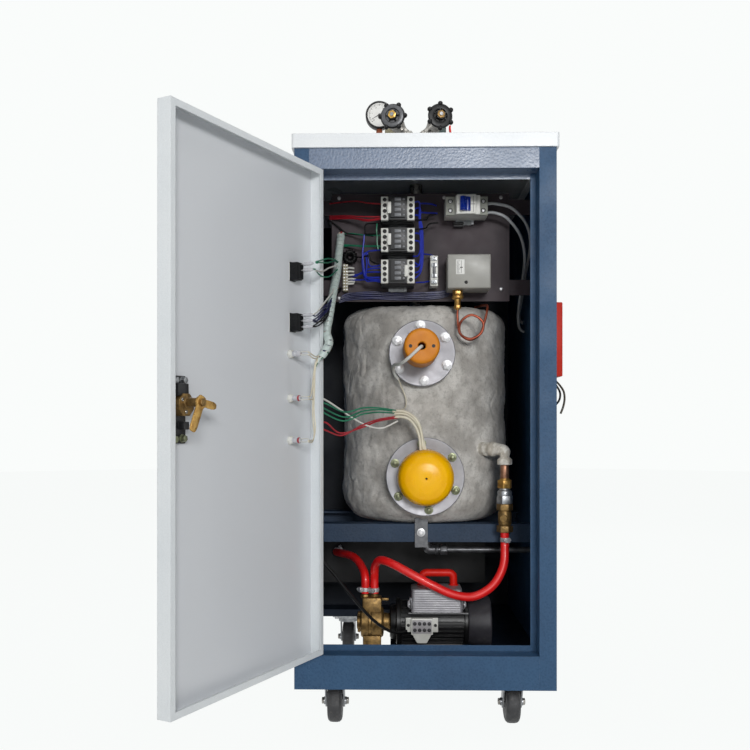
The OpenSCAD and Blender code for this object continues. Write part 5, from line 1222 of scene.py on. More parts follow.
# %% The feed column
FX, FY = 158.0, -140.0
F["cement"] = finish("cement_smear", srgb(232, 230, 222), srgb(188, 182, 170), 12, (0.66, 0.86), 0.0, (2.0, 0.45),
    edge=0.0,
    dirt=(10, 0.56, 0.4, srgb(140, 132, 118)), spread=(0.4, 0.6))
F["nipple"] = finish("pink_brass", srgb(176, 132, 108), srgb(146, 106, 84), 8, (0.3, 0.5), 0.8, (0.8, 0.04), edge=0.3,
    dirt=(7, 0.55, 0.5, srgb(96, 74, 58)))
inwards = np.array([10.0 - FX, 30.0 - FY, 0.0]) / math.hypot(10.0 - FX, 30.0 - FY)
elbow_path = smooth_path([np.array([FX, FY, 474]), np.array([FX, FY, 484]), np.array([FX, FY, 490]) + inwards * 3,
        np.array([FX, FY, 493]) + inwards * 16, np.array([FX, FY, 493]) + inwards * 34, np.array([FX, FY, 493])
        + inwards * 60], 2.0)
swelling = 10.6 + 1.4 * lumps(elbow_path, 16, 21) + 3.5 * np.clip((np.linspace(0, 1, len(elbow_path)) - 0.35) / 0.3,
    0, 1)
points, faces = carried(elbow_path, swelling, 28)
points = points + 0.5 * lumps(points, 7, 22)[:, None] * np.array([0.6, 0.6, 0.6])
put("feed_elbow", [(points, faces)], F["cement"])
column = [placed(raised(hexagon(25, 1.2), 464, 474.5, 1.0), (FX, FY, 0)),
    placed(turned([(473, 0), (473, 11.6), (475, 12.2), (477, 11.4), (477, 0)], 32), (FX, FY, 0))]
put("feed_white_nut", column, F["cement"])
nipple = [placed(turned([(414, 0), (414, 7.4), (437, 7.4), (438.5, 8.2), (461, 8.2), (462.5, 7.6), (465, 7.6),
                (465, 0)], 36), (FX, FY, 0))]
put("feed_nipple", nipple, F["nipple"], stands_for=["feed_pipe"])
upper_hex = [placed(raised(hexagon(25, 1.0), 419, 435, 1.0), (FX, FY, 0), turn=12),
    placed(turned([(434, 0), (434, 10.4), (438, 9.2), (438, 0)], 32), (FX, FY, 0))]
put("feed_upper_hexagon", upper_hex, F["brass"])
union = [placed(raised(hexagon(27.4, 1.0), 389.5, 405, 1.2), (FX, FY, 0), turn=6),
    placed(turned([(404, 0), (404, 13.2), (406, 13.8), (412, 13.8), (414.5, 12.6), (416, 10), (419.5, 10),
                (419.5, 0)], 40), (FX, FY, 0))]
put("feed_union", union, F["zinc"])
barrel = [placed(raised(hexagon(27.4, 1.2), 335.5, 348, 1.4), (FX, FY, 0), turn=-8),
    placed(raised(hexagon(27.4, 1.2), 377, 389.5, 1.4), (FX, FY, 0), turn=-8),
    placed(turned([(347, 0), (347, 10.5), (350, 12), (353, 12.9), (371, 12.9), (374, 12), (378, 10.5), (378, 0)], 40),
        (FX, FY, 0)),
    placed(turned([(-2, 0), (-2, 7.4), (1.6, 7.4), (2.6, 6.4), (2.6, 0)], 28), (FX - 3.4, FY - 10.6, 362),
        (-0.3, -0.95, 0)),
    placed(turned([(0, 0), (0, 6.6), (8, 6.2), (14, 7.2), (14, 0)], 28), (FX, FY, 322))]
put("check_valve_barrel", barrel, F["old_brass"], stands_for=["check_valve"])


# %% Hoses and their clamps
FEED = [(158, -140, 335), (158, -140, 312), (154, -150, 272), (133, -162, 238), (97, -172, 219), (59, -178, 223),
    (20, -180, 240), (-19, -176, 260),
    (-54, -165, 277), (-78, -145, 282), (-89, -123, 268), (-91, -110, 244), (-91, -110, 212)]
SUCTION = [(-176, 90, 265), (-176, 70, 265), (-156, 15, 270), (-132, -40, 270), (-115, -88, 257), (-109, -110, 242),
    (-109, -110, 212)]
put("feed_hose", [carried(smooth_path(FEED, 2.5), 8.0, 20)], F["hose"], stands_for=["red_hoses"])
put("suction_hose", [carried(smooth_path(SUCTION, 3.0), 8.0, 20)], F["hose"])


def clamp(at, direction, r=8.6, turn=0.0):
    """A worm drive clamp: a band 8 mm wide with slots pressed in it, a housing on it, and the screw's slotted
    hexagon."""
    band = turned([(-4, 0), (-4, r), (-3.4, r + 0.5), (3.4, r + 0.5), (4, r), (4, 0)], 36)
    angle = np.radians(np.arange(-50, 51, 11.0))
    marks = [placed(box(-0.5, 0.5, -2.4, 2.4, 0, 0.5, 0.15), (-(r + 0.4) * math.cos(t), -(r + 0.4) * math.sin(t), 0),
            (-math.cos(t), -math.sin(t), 0), 90) for t in angle]
    housing = [box(-5.5, 5.5, r - 0.6, r + 5.2, -4.6, 4.6, 1.0),
        placed(raised(hexagon(6.4), 0, 4.0, 0.4), (5.2, r + 2.4, 0), (1, 0, 0)),
        placed(turned([(-7, 0), (-7, 2.2), (0, 2.2), (0, 0)], 16), (0, r + 2.4, 0), (1, 0, 0))]
    return [placed(s, at, direction, turn) for s in [band, *marks, *housing]]


grips = clamp((158, -140, 321), (0, 0, 1), turn=200) + clamp((-91, -110, 219), (0, 0.0, 1),
    turn=150) + clamp((-109, -110, 220), (0, 0, 1), turn=120)
grips += clamp((-176, 80, 265), (0, 1, 0), turn=60)
put("hose_clamps", grips, F["bolt"])

# %% The drain
drain = [placed(turned([(289, 0), (289, 6), (350, 6), (350, 0)], 28), (14, -52, 0)),
    placed(turned([(-2, 0), (-2, 6), (224.8, 6), (224.8, 4.4), (219, 4.2), (219, 0)], 28), (14, -52, 289), (1, 0, 0))]
for z0, z1 in ((299, 308),):
    drain.append(placed(turned([(z0, 0), (z0, 9.2), (z0 + 1.2, 10), (z1 - 1.2, 10), (z1, 9.2), (z1, 0)], 36),
            (14, -52, 0)))
bend = smooth_path([(14, -52, 300), (14, -52, 294), (15.2, -52, 290.2), (19, -52, 289), (30, -52, 289)], 1.4)
drain.append(carried(bend, 8.8, 28))
drain.append(placed(turned([(15, 0), (15, 9.2), (16.2, 10), (21, 10), (22, 9.2), (22, 0)], 36), (14, -52, 289),
        (1, 0, 0)))
drain.append(placed(raised(hexagon(19, 1.0), 26, 40, 1.0), (14, -52, 289), (1, 0, 0), turn=10))
F["drain"] = finish("old_zinc_pipe", srgb(104, 105, 108), srgb(82, 83, 86), 9, (0.34, 0.5), 0.6, (0.8, 0.03),
    edge=0.4,
    dirt=(12, 0.58, 0.4, srgb(60, 57, 53)))
put("drain_fittings", drain, F["drain"], stands_for=["drain_pipe"])
print("feed column and drain placed")


# %% [markdown]
# ## The feed pump
#
# A brass pump head stands at the end of a small black motor. A ribbed silver box on the motor holds its capacitor,
# with a red carrying handle on top, and a white terminal block hangs at the front. The box is a stack of ribs, so its
# front is a wave in the height. The motor's fins and the fan cover are turned and cut shapes.

# %% Motor, fan cover and foot
MY, MZ = -110.0, 157.0
motor = [placed(turned([(0, 0), (0, 44), (1.5, 46), (7, 46), (8, 44), (8, 42), (130, 42), (130, 44), (131, 46),
                (136.5, 46), (138, 44), (138, 0)], 64), (-49, MY, MZ), (1, 0, 0))]
for t in np.radians(np.arange(0, 360, 12.0)):
    if math.sin(t) < 0.80:
        fin = box(10, 128, -0.9, 0.9, 40, 45.6, 0.5)
        c, s = math.cos(t), math.sin(t)
        points = fin[0]
        motor.append((np.column_stack([-49 + points[:, 0], MY + points[:, 1] * s + points[:, 2] * c, MZ
                        - points[:, 1] * c + points[:, 2] * s]), fin[1]))
motor.append(placed(turned([(0, 0), (0, 28), (2, 32), (10, 33.6), (12.4, 33.6), (12.4, 0)], 48), (-61, MY, MZ),
        (1, 0, 0)))
motor.append(box(-38, 78, MY - 38, MY + 38, 106, 114, 1.5))
put("motor_body", motor, F["paint_black"], stands_for=["pump_motor"])
F["fan_cover"] = finish("fan_cover_grey", srgb(58, 57, 62), srgb(46, 45, 50), 26, (0.34, 0.48), 0.0, (1.0, 0.03),
    edge=0.5,
    dirt=(18, 0.58, 0.4, srgb(92, 90, 86)), wear_and_highlight=(srgb(120, 120, 122), 0.6))
cone = [(0, 0), (0, 41), (1.5, 42), (36, 48.6), (40, 49.6), (42.6, 48.6), (43.6, 45), (43.6, 30), (42.4, 29),
    (42.4, 0)]
put("fan_cover", [placed(turned(cone, 72), (89, MY, MZ), (1, 0, 0))], F["fan_cover"])
# painted shade: thin near-black plates on the end of the fan cover stand for the shade in its air slots
slot_shades = []
for t in np.radians(np.arange(0, 360, 30.0)):
    for r in (13.0, 22.0):
        slot_shades.append(placed(raised(oblong(6, 3, 1.2, (r, 0)), 0, 0.7, 0.2), (131.2, MY, MZ), (1, 0, 0),
                math.degrees(t)))
put("fan_cover_slots", slot_shades, F["terminal_hole"])

# %% The brass head
head = [placed(turned([(0, 0), (0, 12.6), (1.2, 14.6), (7.6, 14.6), (8.6, 13), (8.6, 0)], 40), (-125, MY, MZ),
        (1, 0, 0)),
    placed(turned([(8, 0), (8, 27), (10, 29.4), (22, 30), (24, 28.6), (28, 28.6), (30, 30), (48, 29.6), (51, 27),
                (52, 22), (52, 0)], 64), (-125, MY, MZ), (1, 0, 0)),
    placed(turned([(0, 0), (0, 17), (3, 17.6), (9, 16.4), (12.6, 17.6), (12.6, 0)], 40), (-73.4, MY, MZ), (1, 0, 0)),
    box(-114, -77, MY - 18, MY + 17, 164, 206, 2.4, 4.0), box(-113, -78, MY - 21, MY + 19, 104.6, 134, 2.2, 3.0)]
for t in np.radians((35.0, 125.0, 215.0, 305.0)):
    head += bolt((-118.4, MY + 22 * math.cos(t), MZ + 22 * math.sin(t)), (-1, 0, 0), 7.0, 3.4, 4.6, turn=20)
points, faces = placed(box(-77, -63, MY - 15, MY - 9, 200.4, 205.6, 1.6))
head.append((points, faces))
for px in (-109.0, -91.0):
    head.append(placed(raised(hexagon(15.6, 0.8), 203, 210, 0.8), (px, MY, 0), turn=px))
    head.append(placed(turned([(209, 0), (209, 6.6), (212, 6.6), (212, 0)], 24), (px, MY, 0)))
put("pump_head_casting", head, F["old_brass"], stands_for=["pump_head"])

# %% The ribbed box and its handle
wave = np.linspace(186, 228.6, 86)
depth = 1.5 - 0.22 * np.abs(np.sin((wave - 186) * np.pi / 4.3)) ** 6
rows = []
for z, d in zip(wave, depth):
    slim = (z - 186) * 0.035 + (1.5 - d)
    line = oblong(98 - 2 * slim, 67 - 2 * slim, 7.0, (28, -128.5), 4)
    rows.append(np.column_stack([line, np.full(len(line), z)]))
for shrink, z in ((4.2, 229.4), (6.5, 229.9)):
    line = oblong(98 - 2 * shrink, 67 - 2 * shrink, 6.0, (28, -128.5), 4)
    rows.append(np.column_stack([line, np.full(len(line), z)]))
F["cast_silver"] = finish("silver_box", srgb(158, 157, 161), srgb(140, 139, 144), 18, (0.38, 0.52), 0.4, (0.9, 0.03),
    edge=0.4,
    dirt=(14, 0.6, 0.4, srgb(118, 114, 106)))
ears = []
for middle_x, side in ((-21, -1), (77, 1)):
    outline = softened(np.array([[0, 190], [side * 6.5, 196], [side * 6.5, 204], [0, 214]], float)[::side]
        + [middle_x, 0], 2.0, 3, closed=True)
    points, faces = raised(outline, 0, 4, 0.6)
    ears.append((np.column_stack([points[:, 0], -152 - points[:, 2], points[:, 1]]), faces))
    ears.append(facing(middle_x - 3, middle_x + 3, 192, 211, -156, -140, 0.6))
silver = [grid(np.array(rows)), *ears]
put("capacitor_case", silver, F["cast_silver"], stands_for=["capacitor_box"])
put("capacitor_screws", [screw((sx, -156, 200), FORWARD, 2.2, 1.2, turn=sx) for sx in (-24.3, 80.3)], F["bolt"])
arch = softened(np.array([[1, -116, 229], [1, -116, 253.5], [62, -116, 253.5], [62, -116, 229]], float), 17.0, 10)
put("carrying_handle", [carried(smooth_path(arch, 3.0), 7.3, 20),
        placed(turned([(0, 0), (0, 9.6), (1.6, 9.6), (2.6, 8.4), (2.6, 0)], 28), (1, -116, 229)),
        placed(turned([(0, 0), (0, 9.6), (1.6, 9.6), (2.6, 8.4), (2.6, 0)], 28), (62, -116, 229))],
    F["red"], stands_for=["pump_handle"])

# %% The terminal block
outline = softened(np.array([[-19, 146], [-9.5, 129], [8.5, 129], [18, 146]], float), 1.5, 3, closed=True)
points, faces = raised(outline, 0, 7.6, 1.0)
taper = [(np.column_stack([points[:, 0], -158.4 - points[:, 2], points[:, 1]]), faces)]
block = [facing(-31, 30, 149, 176, -162.4, -158.4, 1.0), facing(-21, 20, 145, 176, -168.6, -162, 1.2), *taper]
put("pump_block", block, F["white_plastic"], stands_for=["pump_terminals"])
# painted shade: near-black discs under the screws and at the two ends stand for the shade in their wells
core, slots_dark, heads = [facing(-18.5, 17.5, 148, 173, -170.0, -168, 0.6)], [], []
for i in range(4):
    for h in (154.5, 166.5):
        px = -14.0 + i * 9.0
        slots_dark.append(placed(turned([(0, 0), (0, 3.5), (0.4, 3.5), (0.4, 0)], 20), (px, -169.9, h), FORWARD))
        heads.append(screw((px, -170.1, h), FORWARD, 2.7, 0.9, turn=i * 27 + h, slots=1))
for px in (-26, 25):
    slots_dark.append(placed(turned([(0, 0), (0, 3.0), (0.4, 3.0), (0.4, 0)], 20), (px, -162.3, 162), FORWARD))
F["pale_core"] = finish("pale_core", srgb(176, 173, 176), srgb(160, 157, 160), 12, (0.4, 0.52), 0.0, (0.8, 0.015),
    edge=0.3,
    dirt=(7, 0.6, 0.4, srgb(110, 106, 106)))
put("pump_block_core", core, F["pale_core"])
put("motor_strip", [facing(-26, 88, 181, 183.6, -154, -140, 0.6)], F["hub"])
put("pump_block_wells", slots_dark, F["terminal_hole"])
put("pump_block_screws", heads, F["fan_cover"])
print("pump: motor, head, box, handle and block")

# %% The pump's lead and the lead of the heaters
PUMP_LEAD = [(-160, -107, 800), (-160, -122, 800), (-196, -180, 740), (-202, -240, 640), (-203, -250, 480),
    (-196, -250, 330), (-157, -238, 266),
    (-124, -218, 220), (-93, -198, 181), (-62, -182, 156), (-44, -170, 150), (-29, -161, 151)]
put("pump_lead", [carried(smooth_path(PUMP_LEAD, 4.0), 2.9, 12)], F["black_sheath"],
    stands_for=["inner_leads"])


# %% [markdown]
# ## Steam fittings on the lid
#
# The steam leaves through a riser that forks into two leaning valves with black handwheels. Beside it stand a
# pressure gauge with a white face and a safety valve with a red lever. Everything is turned, and the wheels are six
# balls round a dished rim.

# %% Riser, fork and header
LEAN = math.radians(38)
RISER = (-7, 10)
HEADER_Y, HEADER_Z = 75, 1085
manifold = [placed(turned([(770, 0), (770, 13), (1112, 13), (1112, 0)], 40), (*RISER, 0)),
    placed(turned([(1040.2, 0), (1040.2, 21), (1042, 22), (1046, 22), (1047, 20), (1047, 0)], 48), (*RISER, 0)),
    placed(raised(hexagon(34, 2), 1056, 1074, 1.6), (*RISER, 0), turn=10),
    placed(turned([(1073, 0), (1073, 15), (1096, 14), (1104, 15.5), (1108, 15.5), (1108, 0)], 40), (*RISER, 0)),
    placed(turned([(-12, 0), (-12, 8), (-8, 13), (0, 15.4), (8, 13), (12, 8), (12, 0)], 40, soft=2), (*RISER, 1112))]
manifold.append(placed(turned([(0, 0), (0, 11), (65, 11), (65, 0)], 32), (*RISER, HEADER_Z), (0, 1, 0)))
manifold.append(placed(turned([(-2, 0), (-2, 11), (2, 12.6), (127, 12.6), (131, 11), (131, 0)], 36),
        (-84, HEADER_Y, HEADER_Z), (1, 0, 0)))
for hx in (-84, -59, -7, 45):
    manifold.append(placed(turned([(-12, 0), (-12, 7), (-8, 11.5), (0, 13.4), (8, 11.5), (12, 7), (12, 0)], 36,
                soft=2), (hx, HEADER_Y, HEADER_Z)))
    manifold.append(placed(turned([(0, 0), (0, 13.2), (1.4, 14.2), (6, 14.2), (7.4, 13.2), (7.4, 0)], 36),
            (hx, HEADER_Y, HEADER_Z + 9)) if hx in (-59, 45) else
        placed(turned([(-15, 0), (-15, 14), (-9, 14), (-9, 0)], 36), (hx + 8, HEADER_Y, HEADER_Z), (1, 0, 0)))
put("steam_header", manifold, F["nickel"], stands_for=["steam_manifold"])
F["khaki"] = finish("khaki_brass", srgb(158, 152, 128), srgb(132, 126, 104), 9, (0.34, 0.5), 0.6, (0.9, 0.04),
    edge=0.4,
    dirt=(8, 0.55, 0.5, srgb(82, 74, 52)))
khaki = [box(-72, -47, 64, 86, 1098, 1178, 1.6, 3.0), placed(raised(hexagon(20, 1.0), 1086, 1099, 1.0),
        (-59, HEADER_Y, 0), turn=20)]
put("header_hexagons", khaki, F["khaki"])

# %% Two leaning valves
valves, bright, glands = [], [], []
for s in (-1, 1):
    leaning = (s * math.sin(LEAN), 0, math.cos(LEAN))
    foot = np.array([-7.0, 10.0, 1114.0])
    top = foot + 70 * np.array(leaning)
    valves.append(placed(turned([(14, 0), (14, 11.5), (20, 11.5), (21, 10), (24, 10), (24, 0)], 36), foot, leaning))
    valves.append(placed(raised(hexagon(28, 1.6), 22, 36, 1.4), foot, leaning, 12))
    valves.append(placed(turned([(35, 0), (35, 12), (38, 12.6), (46, 11), (52, 12.4), (58, 15), (66, 16.4),
                    (74, 15.6), (80, 12), (82, 7), (82.6, 0)], 44, soft=1.5), foot, leaning))
    turn_y = math.radians(s * 8)
    ahead = np.array([math.sin(turn_y), -math.cos(turn_y), 0.0])
    valves.append(placed(turned([(0, 0), (0, 14), (8, 14.4), (14, 13.6), (16, 12), (16, 0)], 40), top, ahead))
    bright.append(placed(raised(hexagon(21, 1.2), 15, 26, 1.0), top, ahead, 10 * s))
    bright.append(placed(turned([(25.6, 0), (25.6, 8.4), (27.6, 8.4), (29.6, 6), (33, 6), (33, 0)], 28), top, ahead))
    glands.append(placed(turned([(30, 0), (30, 3.9), (52.4, 3.9), (53, 3.2), (53, 0)], 20), top, ahead))
    back = np.array([-math.sin(math.radians(s * 16)), math.cos(math.radians(s * 16)), 0.0])
    valves.append(placed(turned([(0, 0), (0, 10), (15, 10), (16, 12), (22, 12), (23, 8), (39.5, 7.6), (39.5, 5.6),
                    (34, 5.4), (34, 0)], 36), top, back))
put("valve_bodies", valves, F["nickel"], stands_for=["steam_valves"])
F["bright_brass"] = finish("bright_brass", srgb(206, 170, 96), srgb(176, 138, 70), 8, (0.2, 0.36), 0.9, (0.7, 0.02),
    edge=0.4,
    dirt=(7, 0.6, 0.4, srgb(112, 84, 46)))
put("valve_bonnets", bright, F["bright_brass"])
put("valve_stems", glands, F["steel"])


def handwheel(s):
    """A wheel of 60 mm: a dished disc, a hub, a soft rim, and six balls on the rim, 15 mm behind the stem's end."""
    top = np.array([-7.0 + s * 70 * math.sin(LEAN), 10.0, 1114.0 + 70 * math.cos(LEAN)])
    t = math.radians(s * 8)
    ahead = np.array([math.sin(t), -math.cos(t), 0.0])
    disc = turned([(1, 4.6), (1, 17), (3, 20), (1.4, 23), (3.6, 25.4), (7.0, 23.6), (8.2, 18), (7.4, 14), (4.4, 12.4),
            (4.4, 9.6), (12.6, 9.0), (13, 4.6)], 60)
    shells = [placed(disc, top + ahead * 35, ahead)]
    for i in range(6):
        a = math.radians(60 * i + (30 if s > 0 else 0))
        ball = turned([(5.2 * math.sin(q), 5.2 * math.cos(q)) for q in np.radians(np.linspace(-88, 88, 13))], 20)
        points, faces = ball
        shells.append(placed((points + np.array([25 * math.cos(a), 25 * math.sin(a), 4.5]), faces), top + ahead * 35,
                ahead))
        spoke = box(9, 23, -2.2, 2.2, 3, 7.4, 0.9)
        c, q = math.cos(a), math.sin(a)
        turned_spoke = np.column_stack([spoke[0][:, 0] * c - spoke[0][:, 1] * q, spoke[0][:, 0] * q + spoke[0][:, 1]
                * c, spoke[0][:, 2]])
        shells.append(placed((turned_spoke, spoke[1]), top + ahead * 35, ahead))
    return shells


def wheel_nut(s):
    """The bright hexagon nut in the hub, with the dark end of the stem in its middle."""
    top = np.array([-7.0 + s * 70 * math.sin(LEAN), 10.0, 1114.0 + 70 * math.cos(LEAN)])
    t = math.radians(s * 8)
    ahead = np.array([math.sin(t), -math.cos(t), 0.0])
    return [placed(raised(hexagon(15, 1.0), 0, 3.0, 0.8), top + ahead * 48, ahead, 15),
        placed(turned([(3, 5.0), (4.4, 5.0), (4.4, 3.4), (3, 3.4)], 24), top + ahead * 48, ahead)]


put("left_wheel_nut", wheel_nut(-1), F["bright_brass"], "left_handwheel")
put("right_wheel_nut", wheel_nut(1), F["old_brass"], "right_handwheel")
# painted highlight: a grey ring on the left wheel's rim stands for the light it reflects; the right wheel has none
F["painted_rim_highlight"] = finish("painted_rim_highlight", srgb(96, 97, 100), srgb(70, 71, 74), 8, (0.28, 0.42), 0.2, (0.9, 0.03), edge=0.0)
top = np.array([-7.0 - 70 * math.sin(LEAN), 10.0, 1114.0 + 70 * math.cos(LEAN)])
ahead = np.array([math.sin(math.radians(-8)), -math.cos(math.radians(-8)), 0.0])
put("left_wheel_rim_highlight", [placed(turned([(6.6, 14.6), (9.2, 15.2), (9.6, 19), (8.4, 22.4), (6.4, 23.2), (6.2, 18)], 60),
            top + ahead * 35, ahead)],
    F["painted_rim_highlight"], "left_handwheel")
put("left_wheel", handwheel(-1), F["wheel_black"], "left_handwheel", stands_for=["handwheel_left"])
put("right_wheel", handwheel(1), F["wheel_black"], "right_handwheel",
    stands_for=["handwheel_right"])
print("steam fork, header, two valves")

# %% The gauge
G = np.array([-84.0, 75.0, 1206.0])
rim = turned([(0, 0), (0, 26), (1.5, 29.2), (4, 29.8), (19, 29.8), (21, 29.2), (22, 28.0), (22, 26.4), (20.2, 25.6),
        (19.0, 25.6), (19.0, 0)], 80)
put("gauge_case", [placed(rim, G + [0, 11, 0], FORWARD)], F["paint_black"],
    stands_for=["gauge"])
put("gauge_dial", [placed(turned([(19.0, 0), (19.0, 25.4), (19.5, 25.4), (19.5, 0)], 64), G + [0, 11, 0], FORWARD)],
    F["card"])
marks, red_marks = [], []


def on_dial(shell, angle, r):
    """Puts a flat mark on the dial at a clock angle in degrees and a radius, with its own height pointing
    outwards."""
    points, faces = shell
    a = math.radians(angle)
    c, s = math.cos(a), math.sin(a)
    x, z = points[:, 0], points[:, 1] + r
    return np.column_stack([G[0] + x * c + z * s, G[1] + 11 - 19.5 - points[:, 2], G[2] - x * s + z * c]), faces


def dash(w, h):
    return raised(oblong(w, h, min(w, h) * 0.2), -0.1, 0.22, 0.05)


for i in range(51):
    angle = -135 + i * 5.4
    long = i % 5 == 0
    marks.append(on_dial(dash(0.8 if long else 0.4, 3.6 if long else 2.0), angle, 21.0 if long else 21.8))
SEGMENTS = {"0": "abcdef", "1": "bc", "2": "abged", "4": "fgbc", "6": "afgedc", "8": "abcdefg", "3": "abgcd",
    "5": "afgcd"}
STROKES = {"a": (0, 1.5, 1.3, 0.34), "g": (0, 0, 1.3, 0.34), "d": (0, -1.5, 1.3, 0.34), "f": (-0.75, 0.75, 0.34, 1.4),
    "b": (0.75, 0.75, 0.34, 1.4),
    "e": (-0.75, -0.75, 0.34, 1.4), "c": (0.75, -0.75, 0.34, 1.4)}
for value in range(6):
    a = math.radians(-135 + value * 54)
    for stroke in SEGMENTS[str(value)]:
        sx, sz, w, h = STROKES[stroke]
        points, faces = dash(w, h)
        marks.append((np.column_stack([G[0] + 16.2 * math.sin(a) + sx + points[:, 0], G[1] + 11 - 19.5 - points[:, 2],
                        G[2] + 16.2 * math.cos(a) + sz + points[:, 1]]), faces))
red_marks.append(on_dial(dash(0.9, 4.4), 54, 21.0))
hand_turn = -121
marks.append(on_dial(raised(np.array([[-1.1, -7], [1.1, -7], [0.25, 19], [-0.25, 19]], float), 0.3, 0.8, 0.1),
        hand_turn, 0))
marks.append(placed(turned([(0, 0), (0, 2.2), (1.0, 2.2), (1.4, 1.4), (1.4, 0)], 20), G + [0, -8.5, 0], FORWARD))
put("gauge_marks", marks, F["terminal_hole"])
put("gauge_red_mark", red_marks, F["wire_red"])
F["red_brass"] = finish("red_brass", srgb(168, 96, 66), srgb(128, 70, 48), 8, (0.3, 0.46), 0.8, (0.8, 0.03), edge=0.4,
    dirt=(7, 0.56, 0.5, srgb(82, 50, 36)))
stem = [placed(turned([(1097, 0), (1097, 6.6), (1150, 6.6), (1152, 8), (1160, 8), (1162, 6.2), (1177, 6.2),
                (1177, 0)], 28), (-84, 75, 0)),
    placed(raised(hexagon(13, 0.8), 1162, 1174, 0.8), (-84, 75, 0), turn=20)]
put("gauge_stem", stem, F["red_brass"])

# %% The safety valve and its lever
safety = [placed(turned([(1119, 0), (1119, 13), (1121, 15), (1140, 15), (1141, 14.4), (1143, 14.4), (1144, 15),
                (1186, 15), (1188, 14), (1188, 0)], 44), (45, 75, 0))]
safety += [box(45, 71, 75 - 8, 75 - 5.2, 1127, 1137, 1.0), box(45, 71, 75 + 5.2, 75 + 8, 1127, 1137, 1.0),
    box(45, 67.6, 67, 83, 1127, 1137, 1.0)]
safety.append(placed(turned([(0, 0), (0, 2), (16.6, 2), (16.6, 0)], 16), (74, 83.2, 1132), FORWARD))
safety += [box(71, 79, 75 - 8, 75 - 5.2, 1127.4, 1136.6, 0.9), box(71, 79, 75 + 5.2, 75 + 8, 1127.4, 1136.6, 0.9)]
put("safety_body", safety, F["green_grey"], stands_for=["safety_valve"])
neck = [placed(turned([(1186, 0), (1186, 11), (1190, 11), (1192, 9.4), (1199, 9.4), (1200, 8.4), (1200, 0)], 36),
        (45, 75, 0))]
put("safety_cap", neck, F["lock_black"])
c, s = math.cos(math.radians(8)), math.sin(math.radians(8))
points, faces = raised(softened(np.array([[-2.1, 0], [2.1, 0], [2.1, 47], [3.4, 52], [-1.0, 52], [-2.1, 46]], float),
        1.0, 2, closed=True), -4.4, 4.4, 0.9)
lever = [(np.column_stack([74 - s * points[:, 1] * 1 + c * points[:, 0], 75 + points[:, 2], 1132 + c * points[:, 1]
                + s * points[:, 0]]), faces),
    placed(turned([(0, 0), (0, 4.7), (9, 4.7), (9, 0)], 28), (74, 79.5, 1132), FORWARD)]
put("test_lever_plate", lever, F["red"], "test_lever", stands_for=["safety_lever"])
print("gauge and safety valve")


# %% [markdown]
# ## The right side: supply cables and the terminal cover
#
# Two supply cables leave the breaker, fall along the right wall and go out under a red cover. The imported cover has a
# deep recess in its front. The piece that stands for it here is a closed box, and it is a little narrower than the
# packed one. Two short tails hang under the cover: one goes back to the wall, and the other ends in a bare core. They
# lie on routes of their own, which aren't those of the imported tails.

# %% Supply cables and capillary
SUPPLY_A = [(124, -145, 960), (140, -145, 960), (172, -138, 953), (202, -120, 927), (216, -80, 894), (217, -10, 846),
    (215, 38, 798), (214, 58, 772),
    (218, 68, 761), (223.5, 70, 758)]
SUPPLY_B = [(124, -145, 943), (138, -145, 943), (162, -140, 934), (190, -120, 906), (205, -80, 872), (208, -20, 826),
    (208, 24, 780), (210, 39, 752),
    (216, 46, 740), (223.5, 48, 737)]
put("supply_pair", [carried(smooth_path(p, 3.0), 2.9, 12) for p in (SUPPLY_A, SUPPLY_B)], F["sheath"],
    stands_for=["supply_cables"])
CAPILLARY = [(68, -145, 758), (68, -145, 742), (72, -153, 713), (91, -159, 702), (111, -161, 713), (114, -161, 734),
    (93, -160, 747), (73, -156, 734),
    (73, -148, 713), (91, -142, 702), (110, -139, 712), (120, -135, 736), (127, -122, 767), (124, -84, 775),
    (113, -48, 777), (110, -48, 774),
    (110, -48, 766)]
put("capillary_tube", [carried(smooth_path(CAPILLARY, 1.4), 2.4, 12)], F["copper"],
    stands_for=["capillary"])


# %% The terminal cover, and the dark gap between its lower back edge and the wall
cover_low, cover_high = (1000 * np.array(corner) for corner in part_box("terminal_cover"))
COVER_NARROWER = 5.5
put("terminal_cover_shell", [box(cover_low[0], cover_high[0] - COVER_NARROWER, cover_low[1], cover_high[1],
            cover_low[2], cover_high[2], 2.0)],
    F["cover_red"], stands_for=["terminal_cover"])
# painted shade: a near-black block fills the gap between the cover's lower back edge and the wall
gap = [box(cover_low[0] + 0.2, cover_low[0] + 6.8, cover_low[1] - 0.3, cover_low[1] + 4, cover_low[2] + 0.4,
        cover_low[2] + 66, 0.2)]
put("terminal_cover_gap", gap, F["terminal_hole"])

# %% The two short cable tails under the cover, which are free cords
TAIL_LOOP = [(250, -110, 634), (253, -112, 624), (262, -114, 614), (268, -115, 601), (266, -115, 587),
    (257, -113, 577), (245, -111, 574), (237, -110, 578)]
TAIL_BARE = [(259, -104, 634), (261, -109, 625), (266, -122, 616), (270.5, -136, 604), (270.5, -146, 590),
    (267, -152, 575), (261.5, -154, 561)]
F["tail"] = finish("brown_core", srgb(62, 52, 36), srgb(40, 46, 34), 5, (0.36, 0.5), 0.0, (0.6, 0.03), edge=0.0)
for name, points, thick, cover, ends_in in (("cable_tail_loop", TAIL_LOOP, 4.0, F["black_sheath"], "object"),
        ("cable_tail_bare", TAIL_BARE, 4.0, F["tail"], "bare")):
    route = smooth_path(points, 1.5)
    length = float(np.linalg.norm(np.diff(route, axis=0), axis=1).sum()) / 1000
    put(name, [carried(route, thick / 2, 12)], cover, stands_for=["cable_tails"]
            if ends_in == "object" else [])
    print(name, "is", round(length, 3), "m long")


